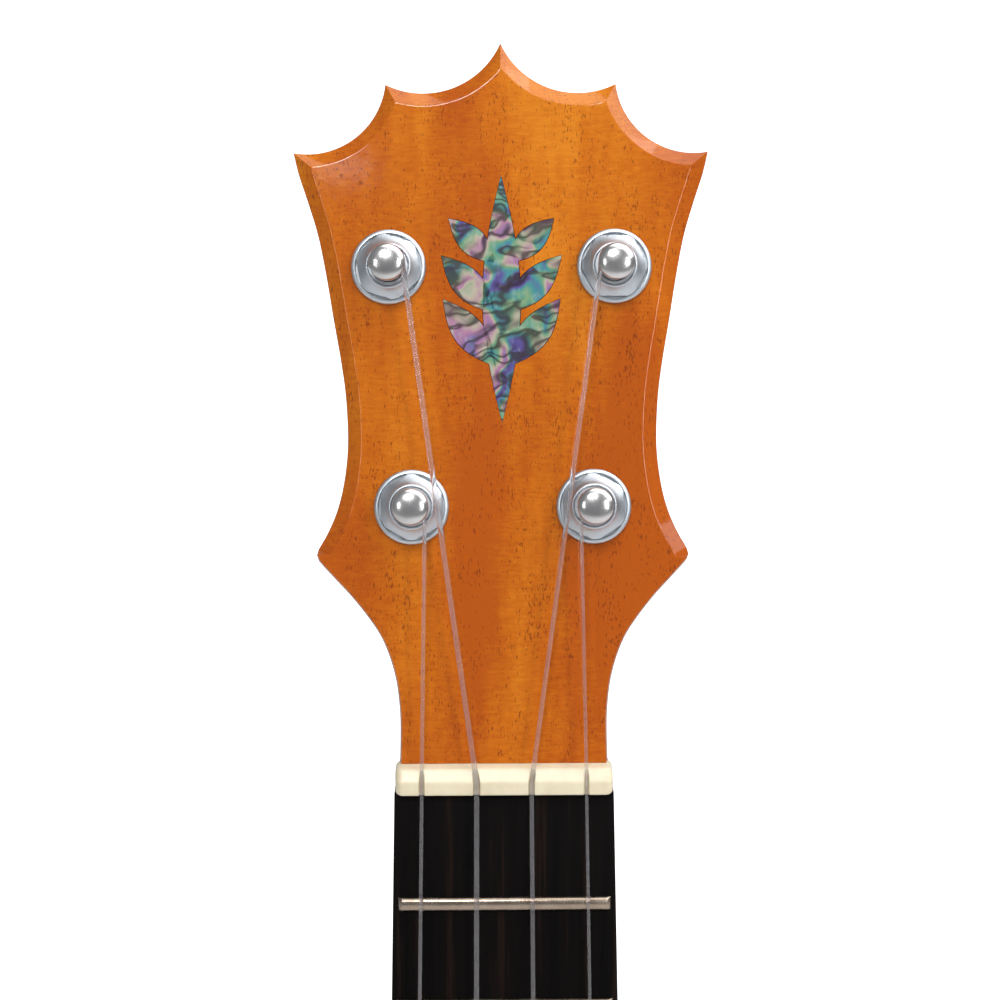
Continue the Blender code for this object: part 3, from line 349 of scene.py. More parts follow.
def makeWoodFigure():
    # wide bands and fine lines along the grain, faint lines across it and short dark pores,
    # all darker lower down the head
    group, source, target = newGroup(
        "wood figure",
        [("Vector", "NodeSocketVector", None),
         ("Light", "NodeSocketColor", (0.63, 0.195, 0.009, 1)),
         ("Middle", "NodeSocketColor", (0.52, 0.128, 0.003, 1)),
         ("Dark", "NodeSocketColor", (0.41, 0.078, 0.002, 1)),
         ("Pores", "NodeSocketFloat", 1.0)],
        [("Color", "NodeSocketColor"), ("Rough", "NodeSocketFloat"), ("Height", "NodeSocketFloat")],
    )
    vector = source.outputs["Vector"]
    bands = grain(group, vector, (62, 62, 5.5), 2.0, 0.55, 0.35, (3.1, 0.7, 0.2))
    lines = grain(group, vector, (620, 620, 16), 3.0, 0.6)
    cross = grain(group, vector, (430, 430, 2200), 3.0, 0.7, 0.4)
    tone = mathOf(group, "ADD", bands, centred(group, lines, 0.22))
    tone = mathOf(group, "ADD", tone, centred(group, cross, 0.42))
    split = group.nodes.new("ShaderNodeSeparateXYZ")
    group.links.new(vector, split.inputs["Vector"])
    tone = mathOf(group, "SUBTRACT", tone, spread(group, split.outputs["Z"], 0.07, 0.02, 0.0, 0.10))
    light, middle, dark = (source.outputs[label] for label in ("Light", "Middle", "Dark"))
    pale = mixed(group, spread(group, tone, 0.50, 0.68), middle, light)
    body = mixed(group, spread(group, tone, 0.32, 0.50), dark, pale)
    dashes = grain(group, vector, (3700, 3700, 900), 1.0, 0.5)
    patch = grain(group, vector, (300, 300, 110), 2.0, 0.6)
    pore = mathOf(group, "ADD", dashes, mathOf(group, "MULTIPLY", patch, 0.40))
    pore = spread(group, pore, 0.835, 0.91)
    poreMask = mathOf(group, "MULTIPLY", pore, source.outputs["Pores"])
    colour = mixed(group, mathOf(group, "MULTIPLY", poreMask, 0.62), body, (0.13, 0.020, 0.002))
    group.links.new(colour, target.inputs["Color"])
    group.links.new(spread(group, lines, 0.3, 0.7, 0.34, 0.46), target.inputs["Rough"])
    group.links.new(mathOf(group, "MULTIPLY", poreMask, -1.0), target.inputs["Height"])
    return group


def makeShimmer():
    # cells of changing colour crossed by dark veins, as in sea shell
    group, source, target = newGroup(
        "shell shimmer", [("Vector", "NodeSocketVector", None)],
        [("Color", "NodeSocketColor"), ("Height", "NodeSocketFloat")],
    )
    vector = source.outputs["Vector"]
    warp = group.nodes.new("ShaderNodeTexNoise")
    warp.inputs["Scale"].default_value = 160.0
    warp.inputs["Detail"].default_value = 2.0
    group.links.new(vector, warp.inputs["Vector"])
    shift = group.nodes.new("ShaderNodeVectorMath")
    shift.operation = "MULTIPLY_ADD"
    shift.inputs[1].default_value = (0.006, 0.006, 0.006)
    group.links.new(warp.outputs["Color"], shift.inputs[0])
    group.links.new(vector, shift.inputs[2])
    warped = shift.outputs["Vector"]
    wave = grain(group, warped, (125, 125, 75), 1.5, 0.5, 1.6)
    colours = rampOf(group, wave, [
        (0.26, (0.03, 0.015, 0.05)), (0.36, (0.09, 0.07, 0.26)), (0.43, (0.05, 0.24, 0.26)),
        (0.49, (0.14, 0.30, 0.16)), (0.55, (0.42, 0.36, 0.28)), (0.61, (0.36, 0.17, 0.28)),
        (0.68, (0.16, 0.12, 0.30)), (0.78, (0.04, 0.16, 0.17)),
    ])
    veins = grain(group, warped, (75, 75, 150), 1.5, 0.5, 2.2, (1.7, 0.3, 0.0))
    line = mathOf(group, "ABSOLUTE", mathOf(group, "SUBTRACT", veins, 0.5))
    dark = spread(group, line, 0.02, 0.10, 1.0, 0.0)
    glint = grain(group, vector, (900, 900, 500), 1.0)
    bright = mixed(group, spread(group, glint, 0.55, 0.75, 0.0, 0.25), colours, (0.50, 0.54, 0.50))
    colour = mixed(group, mathOf(group, "MULTIPLY", dark, 0.85), bright, (0.03, 0.018, 0.02))
    group.links.new(colour, target.inputs["Color"])
    group.links.new(wave, target.inputs["Height"])
    return group


def makeFineWear():
    # small changes of roughness and faint scratches
    group, source, target = newGroup(
        "fine wear",
        [("Vector", "NodeSocketVector", None),
         ("Low", "NodeSocketFloat", 0.2), ("High", "NodeSocketFloat", 0.3)],
        [("Rough", "NodeSocketFloat"), ("Tone", "NodeSocketFloat"), ("Height", "NodeSocketFloat")],
    )
    vector = source.outputs["Vector"]
    cloud = noiseOf(group, vector, 260.0, 3.0, 0.6)
    scratch = grain(group, vector, (5200, 300, 700), 2.0, 0.6)
    share = spread(group, weighed(group, cloud, 0.7, scratch), 0.35, 0.65)
    low, high = source.outputs["Low"], source.outputs["High"]
    extra = mathOf(group, "MULTIPLY", share, mathOf(group, "SUBTRACT", high, low))
    rough = mathOf(group, "ADD", low, extra)
    group.links.new(rough, target.inputs["Rough"])
    group.links.new(cloud, target.inputs["Tone"])
    group.links.new(scratch, target.inputs["Height"])
    return group


woodFigure = makeWoodFigure()
shellShimmer = makeShimmer()
fineWear = makeFineWear()


def newMaterial(name, **values):
    material = bpy.data.materials.new(name)
    material.use_nodes = True
    tree = material.node_tree
    shader = tree.nodes["Principled BSDF"]
    for label, value in values.items():
        shader.inputs[label.replace("_", " ")].default_value = value
    coordinates = tree.nodes.new("ShaderNodeTexCoord").outputs["Object"]
    return material, tree, shader, coordinates


def useGroup(tree, group, vector, **values):
    node = tree.nodes.new("ShaderNodeGroup")
    node.node_tree = group
    tree.links.new(vector, node.inputs["Vector"])
    for label, value in values.items():
        node.inputs[label].default_value = value
    return node


def bumpInto(tree, shader, height, strength, distance, target="Normal"):
    bump = tree.nodes.new("ShaderNodeBump")
    bump.inputs["Strength"].default_value = strength
    bump.inputs["Distance"].default_value = distance
    tree.links.new(height, bump.inputs["Height"])
    tree.links.new(bump.outputs["Normal"], shader.inputs[target])


lacquer = {
    "finish": {"Coat_Weight": 0.75, "Coat_Roughness": 0.06, "Coat_IOR": 1.5, "Specular_IOR_Level": 0.03},
    "poreBump": (0.10, 0.00005), "rippleBump": (0.12, 0.00004), "rippleScale": 900.0,
}


def lacquered(name, **colours):
    material, tree, shader, coordinates = newMaterial(name, **lacquer["finish"])
    figure = useGroup(tree, woodFigure, coordinates, **colours)
    tree.links.new(figure.outputs["Color"], shader.inputs["Base Color"])
    tree.links.new(figure.outputs["Rough"], shader.inputs["Roughness"])
    bumpInto(tree, shader, figure.outputs["Height"], *lacquer["poreBump"])
    # the lacquer itself is a little uneven
    ripple = noiseOf(tree, coordinates, lacquer["rippleScale"], 2.0, 0.6)
    bumpInto(tree, shader, ripple, *lacquer["rippleBump"], "Coat Normal")
    return material


rosette = {
    "radius": 29.0, "blur": 0.05,
    "bands": [(1.9, (0.025, 0.014, 0.008)), (1.1, (0.62, 0.45, 0.22)), (0.35, (0.03, 0.016, 0.01))],
}


def rosetteWood():
    # the front plate: the same wood with thin rings round the sound opening
    material, tree, shader, coordinates = newMaterial("front plate wood", **lacquer["finish"])
    figure = useGroup(tree, woodFigure, coordinates)
    split = tree.nodes.new("ShaderNodeSeparateXYZ")
    tree.links.new(coordinates, split.inputs["Vector"])
    x = split.outputs["X"]
    up = mathOf(tree, "ADD", split.outputs["Z"], -holeZ)
    squares = mathOf(tree, "ADD", mathOf(tree, "MULTIPLY", x, x), mathOf(tree, "MULTIPLY", up, up))
    radius = mathOf(tree, "SQRT", squares)
    away = mathOf(tree, "ABSOLUTE", mathOf(tree, "SUBTRACT", radius, rosette["radius"] * mm))
    blur = rosette["blur"]
    colour = figure.outputs["Color"]
    for half, tint in rosette["bands"]:
        colour = mixed(tree, spread(tree, away, (half + blur) * mm, (half - blur) * mm), colour, tint)
    tree.links.new(colour, shader.inputs["Base Color"])
    tree.links.new(figure.outputs["Rough"], shader.inputs["Roughness"])
    bumpInto(tree, shader, figure.outputs["Height"], *lacquer["poreBump"])
    return material


def wornMaterial(name, darker, lighter, low, high, bump=0.0, **values):
    # one finish between two tones, its roughness between low and high
    material, tree, shader, coordinates = newMaterial(name, **values)
    wear = useGroup(tree, fineWear, coordinates, Low=low, High=high)
    tones = rampOf(tree, wear.outputs["Tone"], [(0.3, darker), (0.7, lighter)])
    tree.links.new(tones, shader.inputs["Base Color"])
    tree.links.new(wear.outputs["Rough"], shader.inputs["Roughness"])
    if bump:
        bumpInto(tree, shader, wear.outputs["Height"], bump, 0.00002)
    return material


def darkWoodMaterial():
    material, tree, shader, coordinates = newMaterial("near-black wood", Specular_IOR_Level=0.05)
    streaks = grain(tree, coordinates, (260, 260, 7), 3.0, 0.6)
    lines = grain(tree, coordinates, (2400, 2400, 60), 2.0, 0.6)
    tones = rampOf(tree, weighed(tree, streaks, 0.75, lines), [
        (0.38, (0.0014, 0.0012, 0.0012)), (0.54, (0.0030, 0.0022, 0.0020)), (0.68, (0.016, 0.0080, 0.0056)),
    ])
    tree.links.new(tones, shader.inputs["Base Color"])
    tree.links.new(spread(tree, lines, 0.3, 0.7, 0.42, 0.60), shader.inputs["Roughness"])
    bumpInto(tree, shader, lines, 0.12, 0.00004)
    return material


def shellMaterial():
    material, tree, shader, coordinates = newMaterial(
        "sea shell", Roughness=0.22, Coat_Weight=0.4, Coat_Roughness=0.06)
    shimmer = useGroup(tree, shellShimmer, coordinates)
    tree.links.new(shimmer.outputs["Color"], shader.inputs["Base Color"])
    bumpInto(tree, shader, shimmer.outputs["Height"], 0.15, 0.0001)
    return material


def stringMaterial():
    material, tree, shader, coordinates = newMaterial(
        "clear nylon", Roughness=0.16, Transmission_Weight=0.93, IOR=1.34, Specular_IOR_Level=0.5)
    cloud = noiseOf(tree, coordinates, 900.0, 2.0, 0.5)
    tones = rampOf(tree, cloud, [(0.35, (0.82, 0.79, 0.80)), (0.65, (0.89, 0.87, 0.88))])
    tree.links.new(tones, shader.inputs["Base Color"])
    return material


amber = lacquered("amber lacquer")
amberNeck = lacquered("amber lacquer neck", Light=(0.62, 0.21, 0.028, 1),
                      Middle=(0.50, 0.135, 0.012, 1), Dark=(0.36, 0.08, 0.006, 1))
amberFront = rosetteWood()
paleWood = wornMaterial("pale inner wood", (0.50, 0.33, 0.17), (0.68, 0.49, 0.28), 0.55, 0.70, 0.3)
ebony = darkWoodMaterial()
bone = wornMaterial("cream bone", (0.69, 0.60, 0.42), (0.78, 0.70, 0.51), 0.30, 0.40, 0.05,
                    Subsurface_Weight=0.12, Subsurface_Scale=0.002)
shell = shellMaterial()
fretMetal = wornMaterial("fret wire", (0.30, 0.235, 0.18), (0.42, 0.34, 0.27),
                         0.22, 0.32, 0.05, Metallic=1.0)
polished = wornMaterial("polished plating", (0.56, 0.545, 0.54), (0.66, 0.645, 0.64),
                        0.19, 0.24, Metallic=1.0)
satin = wornMaterial("satin plating", (0.50, 0.54, 0.58), (0.60, 0.64, 0.68),
                     0.34, 0.44, 0.08, Metallic=1.0)
brass = wornMaterial("gear brass", (0.62, 0.42, 0.14), (0.76, 0.55, 0.22),
                     0.24, 0.36, 0.05, Metallic=1.0)
plastic = wornMaterial("black plastic", (0.010, 0.010, 0.011), (0.018, 0.018, 0.019), 0.16, 0.24)
nylon = stringMaterial()
print("materials made")

headShape = {
    "apex": (0.0, 122.2), "innerCusp": (19.6, 115.2), "outerCusp": (35.25, 103.6),
    "innerCentre": (13.25, 128.1), "outerCentre": (32.85, 116.8),
    "side": [(34.4, 100.0), (32.7, 94.8), (31.1, 89.4), (29.8, 82.9), (28.5, 75.0), (27.3, 68.0),
             (26.5, 61.8), (26.2, 54.2), (26.8, 48.0), (28.0, 42.9), (29.7, 38.9), (31.2, 36.3)],
    "earTip": [(31.55, 35.2), (31.2, 34.2)],
    "flank": [(28.4, 31.1), (25.8, 28.3), (23.0, 24.8), (20.8, 21.5), (19.3, 18.0), (18.2, 14.0),
              (17.65, 9.7), (17.5, 5.4)],
    "baseHalf": 17.7, "root": 3.4, "counts": [8, 40, 70, 44, 44, 44, 44, 70, 40],
    "postHole": 4.4 * mm,
}


def headPieces():
    s = headShape
    side = smoothThrough([s["outerCusp"]] + s["side"] + s["earTip"][:1], 10)
    flank = smoothThrough(s["earTip"] + s["flank"] + [(s["baseHalf"], -s["root"])], 10)
    inner = arcBetween(s["apex"], s["innerCusp"], s["innerCentre"], 40)
    outer = arcBetween(s["innerCusp"], s["outerCusp"], s["outerCentre"], 40)
    right = [flank[::-1], side[::-1], outer[::-1], inner[::-1]]
    left = [(part * np.array([-1.0, 1.0]))[::-1] for part in reversed(right)]
    base = np.array([(-s["baseHalf"], -s["root"]), (s["baseHalf"], -s["root"])])
    return [part * mm for part in [base] + right + left]


headParts = headPieces()


def headLayers(profile, lowerShare):
    # (inset, height) pairs in millimetres, each giving the outline at that depth;
    # below the ears only a share of the inset is taken
    rings = []
    shares = [lowerShare, lowerShare] + [1.0] * 6 + [lowerShare]
    for inset, height in profile:
        distances = [inset * mm * share for share in shares]
        outline = insetOutline(headParts, distances, headShape["counts"])
        rings.append(onHead(outline[:, 0], outline[:, 1], height * mm))
    return rings


def postHoles(front, back):
    radius = headShape["postHole"]
    profile = [(radius, front), (radius, back)]
    return [ringMesh("hole", turnedOnHead(profile, (x, y), 48)) for x, y, _ in tunerPlaces.values()]


nutRoom = boxMesh("nut room", (-40 * mm, -12 * mm, -0.1 * mm), (40 * mm, 4.9 * mm, 4.46 * mm))
faceShape = {
    "profile": [(0.0, -2.0), (0.0, -1.66), (0.02, -1.57), (0.08, -1.48), (0.17, -1.40),
                (2.12, -0.15), (2.24, -0.07), (2.38, -0.015), (2.52, 0.0)],
    "lowerShare": 0.13,
}
headFace = ringMesh("face", headLayers(faceShape["profile"], faceShape["lowerShare"]))
headFace = combined("headFace", headFace, postHoles(mm, -3 * mm) + [nutRoom.copy()], sharp=24.0)
piece("headFace", headFace, amber, "ukulele", ["head_veneer"])


def leafPrism(name, x, y, length, width, degrees, low, high, grow):
    steps = 26
    turn = math.radians(degrees)
    along = np.array([math.cos(turn), math.sin(turn)])
    across = np.array([-along[1], along[0]])
    foot = np.array([x, y + sprig["middle"]]) * mm - along * grow
    t = np.concatenate([np.arange(steps) / steps, 1 - np.arange(steps) / steps])
    side = np.repeat([1.0, -1.0], steps)
    swell = (width * mm / 2 + grow) * np.sin(np.pi * t) * side
    edge = foot + np.outer(t * (length * mm + 2 * grow), along) + np.outer(swell, across)
    return ringMesh(name, [onHead(edge[:, 0], edge[:, 1], level) for level in (low, high)])


# each leaf is its foot's place, its length and width, and the angle it grows at
sprig = {
    "middle": 78.5,
    "stem": [(0.0, -21.0, 42.0, 6.4, 90.0)],
    "leaves": [(1.0, -11.5, 14.5, 5.2, 52.0), (1.0, -2.5, 13.5, 5.0, 47.0), (1.0, 6.0, 11.0, 4.4, 44.0)],
    "shell": (-1.1 * mm, 0.02 * mm, 0.0), "edge": (-1.15 * mm, 0.008 * mm, 0.12 * mm),
}


def sprigMesh(name, low, high, grow):
    mirrored = [(-x, y, length, width, 180 - a) for x, y, length, width, a in sprig["leaves"]]
    every = sprig["stem"] + sprig["leaves"] + mirrored
    solids = [leafPrism(f"leaf{i}", *leaf, low, high, grow) for i, leaf in enumerate(every)]
    return combined(name, solids[0], solids[1:], "UNION")


headInlay = sprigMesh("headInlay", *sprig["shell"])
piece("headInlay", headInlay, shell, "ukulele", ["head_inlay"])
piece("inlayEdge", sprigMesh("inlayEdge", *sprig["edge"]), ebony, "ukulele")
print("head made")


neckShape = {
    "halfAtNut": 18.5, "halfAtEnd": 22.75, "top": 4.6 * mm, "roundness": 0.75,
    "depths": [(4.2, 10.6), (1.8, 12.0), (-8.0, 12.5), (-70.0, 13.5), (-133.4, 15.0), (-149.0, 15.9)],
    "heel": 26.0 * mm, "heelHalf": 8.5 * mm, "heelFrom": 15.9 * mm, "heelDrop": 31.1 * mm, "heelPower": 2.4,
    "core": [(0.0, -2.02), (0.0, -11.8), (0.04, -12.1), (0.30, -12.55), (0.80, -12.9), (1.3, -13.0)],
}


def boardHalf(z):
    nut, end = neckShape["halfAtNut"], neckShape["halfAtEnd"]
    return (nut + (end - nut) * z / neckEnd) * mm


def neckSection(z, depth):
    half = boardHalf(min(z, 0.0))
    if z > 0:
        half += (headShape["baseHalf"] * mm - half) * z / (4.4 * mm)
    t = np.linspace(0.0, math.pi, 41)
    fall = np.sin(t) ** neckShape["roundness"]
    fall[-1] = 0.0
    # the deeper part is the heel, which narrows towards its foot
    share = min(1.0, max(0.0, (depth - 15.0 * mm) / (32.0 * mm)))
    reach = half + (neckShape["heelHalf"] - half) * share * fall
    return np.stack([reach * np.cos(t), neckShape["top"] + depth * fall, np.full(41, z)], axis=-1)


def neckShaftMesh():
    s = neckShape
    knots = [(z * mm, depth * mm) for z, depth in s["depths"]]
    t = np.linspace(0.0, 1.0, 22)[1:]
    z = neckEnd + s["heel"] * (1 - t) + 0.1 * mm * t
    tail = np.stack([z, s["heelFrom"] + s["heelDrop"] * t ** s["heelPower"]], axis=-1)
    stations = np.vstack([smoothThrough(knots, 6), tail])
    return ringMesh("neckShaft", [neckSection(z, depth) for z, depth in stations])


tenon = boxMesh("tenon", (-8 * mm, 12.1 * mm, neckEnd - 11 * mm), (8 * mm, 42.1 * mm, neckEnd + 1.5 * mm))
neckWhole = ringMesh("core", headLayers(neckShape["core"], 1.0))
neckWhole = combined("neckWhole", neckWhole, [neckShaftMesh(), tenon], "UNION")
neckWhole = combined("neckWhole", neckWhole, postHoles(0.0, -14 * mm) + [nutRoom], sharp=32.0)
piece("neckWhole", neckWhole, amberNeck, "ukulele", ["neck"])
print("neck made")


boardShape = {
    "corners": [(0.0, 4.5), (1.0, 4.5), (1.0, 0.0), (-1.0, 0.0), (-1.0, 4.5), (0.0, 4.5)], "edge": 0.35,
    "stations": [(-0.1, 0.2), (-0.35, 0.0), (-60.0, 0.0), (-120.0, 0.0), (-180.75, 0.0), (-181.0, 0.2)],
}


def boardMesh():
    # a shallow rounded section swept along the board as it widens, its top falling a little at the ends
    rings = []
    for z, drop in np.array(boardShape["stations"]) * mm:
        half = boardHalf(z)
        section = np.array([(x * half, y * mm) for x, y in boardShape["corners"]])
        section[:, 1] = np.where(section[:, 1] < mm, section[:, 1] + drop, section[:, 1])
        curve = rounded(section, boardShape["edge"] * mm, 3)[:-1]
        rings.append(np.column_stack([curve, np.full(len(curve), z)]))
    return ringMesh("board", rings, sharp=50.0)


piece("board", boardMesh(), ebony, "ukulele", ["fretboard"])


# ends: how far in from its end the crown has reached each share of its height
fretShape = {
    "count": 12, "half": 1.2 * mm, "rise": 1.0 * mm, "roundness": 0.8, "foot": 0.05 * mm, "short": 0.9 * mm,
    "ends": [(0.0, 0.12), (0.12, 0.42), (0.5, 0.92), (0.75, 1.0)],
}


def fretMesh(name, number):
    # a low crown whose ends slope in
    s = fretShape
    z = -scaleLength * (1 - 2 ** (-number / 12))
    half = boardHalf(z) - s["short"]
    t = np.linspace(0.0, math.pi, 15)
    rise = s["rise"] * np.sin(t) ** s["roundness"]
    rise[0] = rise[-1] = 0.0
    crown = np.column_stack([s["half"] * np.cos(t), -rise])
    section = np.vstack([crown, [(-s["half"], s["foot"]), (s["half"], s["foot"])]])
    ends = [(inwards * mm - half, share) for inwards, share in s["ends"]]
    rings = []
    for x, share in ends + [(-x, share) for x, share in reversed(ends)]:
        y = np.where(section[:, 1] < 0, section[:, 1] * share, section[:, 1])
        rings.append(np.column_stack([np.full(len(section), x), y, z + section[:, 0]]))
    return ringMesh(name, rings, sharp=40.0)


for number in range(1, fretShape["count"] + 1):
    name = f"fretCrown{number:02d}"
    piece(name, fretMesh(name, number), fretMetal, "ukulele", [f"fret_{number:02d}"])

dotSet = {
    "counts": {5: 1, 7: 1, 10: 1, 12: 2}, "apart": 18,
    "profile": [(2.6, 0.5), (2.6, -0.004), (2.5, -0.02)],
}


def dotMesh(name, x, z):
    cx, cz = circlePoints(1.0, 40)
    rings = [np.stack([x + r * cx, np.full(40, y), z + r * cz], axis=-1)
             for r, y in np.array(dotSet["profile"]) * mm]
    return ringMesh(name, rings)


for number, count in dotSet["counts"].items():
    middle = -scaleLength * (1 - (2 ** (-number / 12) + 2 ** (-(number - 1) / 12)) / 2)
    for k in range(count):
        x = 0.0 if count == 1 else (k - 0.5) * dotSet["apart"] * mm
        name = f"dot{number:02d}{k}"
        piece(name, dotMesh(name, x, middle), shell, "ukulele")

stringWidths = (0.64 * mm, 0.88 * mm, 0.76 * mm, 0.56 * mm)
stringSet = {
    "nutStep": 9.23 * mm, "saddleStep": 13.6 * mm, "turns": 1.75, "rise": 1.0 * mm, "perTurn": 40,
    "postRadius": 1.95 * mm, "gap": 0.06 * mm, "spare": 0.03 * mm, "level": 5.1 * mm,
    "tail": [(1.25, -2.05, -357.2), (1.2, -2.25, -360.0), (1.1, -2.2, -363.2), (0.9, -1.75, -365.3),
             (0.5, -0.8, -366.0), (0.1, 0.05, -365.9), (0.0, 0.2, -365.0)],
    "overSaddle": [(0.2, -358.2), (-4.97, -353.5), (-5.39, -352.8), (-5.475, -352.3), (-5.475, -351.5)],
    "overNut": [(-1.15, 0.0), (-1.15, 2.15), (-1.145, 2.3)],
}


def wrapLine(index):
    s = stringSet
    x, y, side = tunerPlaces[letters[index]]
    radius = s["postRadius"] + s["gap"] + stringWidths[index] / 2 + s["spare"]
    xNut = (index - 1.5) * s["nutStep"]
    # where the string leaves the nut, in the head's own directions
    dy = -1.15 * mm - headFootY
    dz = 2.3 * mm - headFootZ
    startV = dy * sinLean + dz * cosLean
    away = np.array([x - xNut, y - startV])
    first = math.atan2(away[1], away[0]) + math.pi + side * math.acos(radius / np.linalg.norm(away))
    t = np.arange(int(s["turns"] * s["perTurn"]) + 1) / s["perTurn"]
    angle = first + side * 2 * math.pi * t
    level = s["level"] + s["rise"] * np.maximum(0.0, t - 0.1)
    return onHead(x + radius * np.cos(angle), y + radius * np.sin(angle), level)


def stringRoute(index):
    # from the tie at the bridge, over the saddle and the nut, and round the post
    xSaddle = (index - 1.5) * stringSet["saddleStep"] / mm
    xNut = (index - 1.5) * stringSet["nutStep"] / mm
    tail = smoothThrough([(xSaddle + x, y, z) for x, y, z in stringSet["tail"]], 8)
    long = [(xSaddle, y, z) for y, z in stringSet["overSaddle"]]
    long += [(xNut, y, z) for y, z in stringSet["overNut"]]
    return np.vstack([tail * mm, np.array(long) * mm, wrapLine(index)])


def headRun(route):
    # the crest of the nut, its bend and the point beyond it
    count = int(stringSet["turns"] * stringSet["perTurn"]) + 1
    return route[-count - 3], route[-count - 1], route[-count]


def tubeMesh(name, route, radius, sides=14):
    # rings carried along the line without twist
    ahead = np.gradient(route, axis=0)
    ahead /= np.linalg.norm(ahead, axis=1)[:, None]
    reference = np.cross(ahead, np.array([1.0, 0.0, 0.0]))
    small = np.linalg.norm(reference, axis=1) < 0.2
    reference[small] = np.cross(ahead[small], np.array([0.0, 0.0, 1.0]))
    u = reference / np.linalg.norm(reference, axis=1)[:, None]
    kept = [u[0]]
    for direction in ahead[1:]:
        carried = kept[-1] - direction * np.dot(kept[-1], direction)
        kept.append(carried / np.linalg.norm(carried))
    u = np.array(kept)
    v = np.cross(ahead, u)
    t = 2 * math.pi * np.arange(sides) / sides
    out = np.cos(t)[None, :, None] * u[:, None] + np.sin(t)[None, :, None] * v[:, None]
    return ringMesh(name, route[:, None] + radius * out, sharp=50.0)


for index, letter in enumerate(letters):
    name = f"stringLine{letter.upper()}"
    tube = tubeMesh(name, stringRoute(index), stringWidths[index] / 2)
    piece(name, tube, nylon, "ukulele", [f"string_{letter}"])

nutShape = {
    "half": 18.3, "middle": (2.2, 2.4), "rounding": 0.4, "endRun": 1.2, "endInset": 1.4, "reduce": (4.2, 3.9),
    "corners": [(2.2, 4.8), (0.0, 4.8), (0.0, -1.5), (2.3, -1.5), (4.4, -0.2), (4.4, 4.8), (2.2, 4.8)],
    "slotRoom": 0.16 * mm, "slotBack": 2 * mm, "slotReach": 11, "slotFlare": 1.9, "slotTop": -6 * mm,
}


def nutSlotMesh(index):
    # an open-topped channel round the string, from behind the crest to beyond the head side
    s = nutShape
    radius = stringWidths[index] / 2 + s["slotRoom"]
    crest, bend, beyond = headRun(stringRoute(index))
    far = bend + (beyond - bend) / np.linalg.norm(beyond - bend) * s["slotReach"] * mm
    t = np.linspace(0.0, math.pi, 13)
    rings = []
    for x, y, z in (crest - np.array([0.0, 0.0, s["slotBack"]]), bend, far):
        arc = np.stack([x + radius * np.cos(t), y + radius * np.sin(t), np.full(13, z)], axis=-1)
        flare = radius * s["slotFlare"]
        rings.append(np.vstack([arc, [(x - flare, s["slotTop"], z), (x + flare, s["slotTop"], z)]]))
    return ringMesh("slot", rings)


def nutMesh():
    # the nut's section is drawn in at its ends so that they are round
    s = nutShape
    half = s["half"]
    section = rounded(np.array(s["corners"]), s["rounding"], 5)[:-1]
    middle = np.array(s["middle"])
    t = np.linspace(0.0, math.pi / 2, 9)
    shrink = s["endInset"] * (1 - np.sin(t))
    run = s["endRun"]
    along = np.concatenate([-half + run * (1 - np.cos(t)), half - run * (1 - np.cos(t[::-1]))])
    insets = np.concatenate([shrink, shrink[::-1]])
    rings = []
    for x, inset in zip(along, insets):
        moved = middle + (section - middle) * (1 - inset / np.array(s["reduce"]))
        rings.append(np.column_stack([np.full(len(moved), x), moved[:, 1], moved[:, 0]]) * mm)
    whole = ringMesh("nut", rings)
    return combined("nutShape", whole, [nutSlotMesh(i) for i in range(4)], sharp=40.0)


piece("nutShape", nutMesh(), bone, "ukulele", ["nut"])
print("board, frets, nut and strings made")

# (radius, height) pairs, except the cone's, which give its radius after the height,
# and the mouth's, which give how far below the top they are
bushingShape = {
    "turn": {"g": 0.0, "c": 12.0, "e": 30.0, "a": 3.0}, "count": 288,
    "flat": 5.14 * mm, "corner": 5.6 * mm, "foot": 0.3 * mm, "top": 2.75,
    "flange": [(4.22, 0.1), (6.12, 0.1), (6.3, 0.2), (6.35, 0.42), (6.33, 0.66), (6.24, 0.84),
               (6.1, 0.95), (5.78, 1.08), (5.70, 1.08), (5.64, 1.02), (5.62, 0.92), (5.62, 0.3)],
    "cone": [(0.9, 5.9), (1.12, 5.58), (1.22, 5.40), (1.34, 5.20), (1.55, 4.90), (1.85, 4.52),
             (2.15, 4.20), (2.42, 3.98), (2.62, 3.84)],
    "mouth": [(3.74, 0.04), (3.64, 0.0), (3.56, 0.0), (3.48, 0.04), (3.45, 0.12), (3.45, 0.85), (4.22, 0.85)],
}


def bushingMesh(name, letter):
    # the hexagon's distance out is the flat's distance over the cosine of the angle from its middle,
    # held in by a cone at the top
    s = bushingShape
    x, y, _ = tunerPlaces[letter]
    count = s["count"]
    angle = 2 * math.pi * np.arange(count) / count
    fold = (angle - math.radians(s["turn"][letter]) + math.pi / 6) % (math.pi / 3) - math.pi / 6
    hexOut = np.minimum(s["flat"] / np.cos(fold), s["corner"])
    rows = [(np.full(count, r * mm), h * mm) for r, h in s["flange"]]
    rows.append((hexOut, s["foot"]))
    rows += [(np.minimum(hexOut, r * mm), h * mm) for h, r in s["cone"]]
    rows += [(np.full(count, r * mm), (s["top"] - down) * mm) for r, down in s["mouth"]]
    rings = [onHead(x + r * np.cos(angle), y + r * np.sin(angle), h) for r, h in rows]
    return ringMesh(name, rings, joined=True, sharp=28.0)


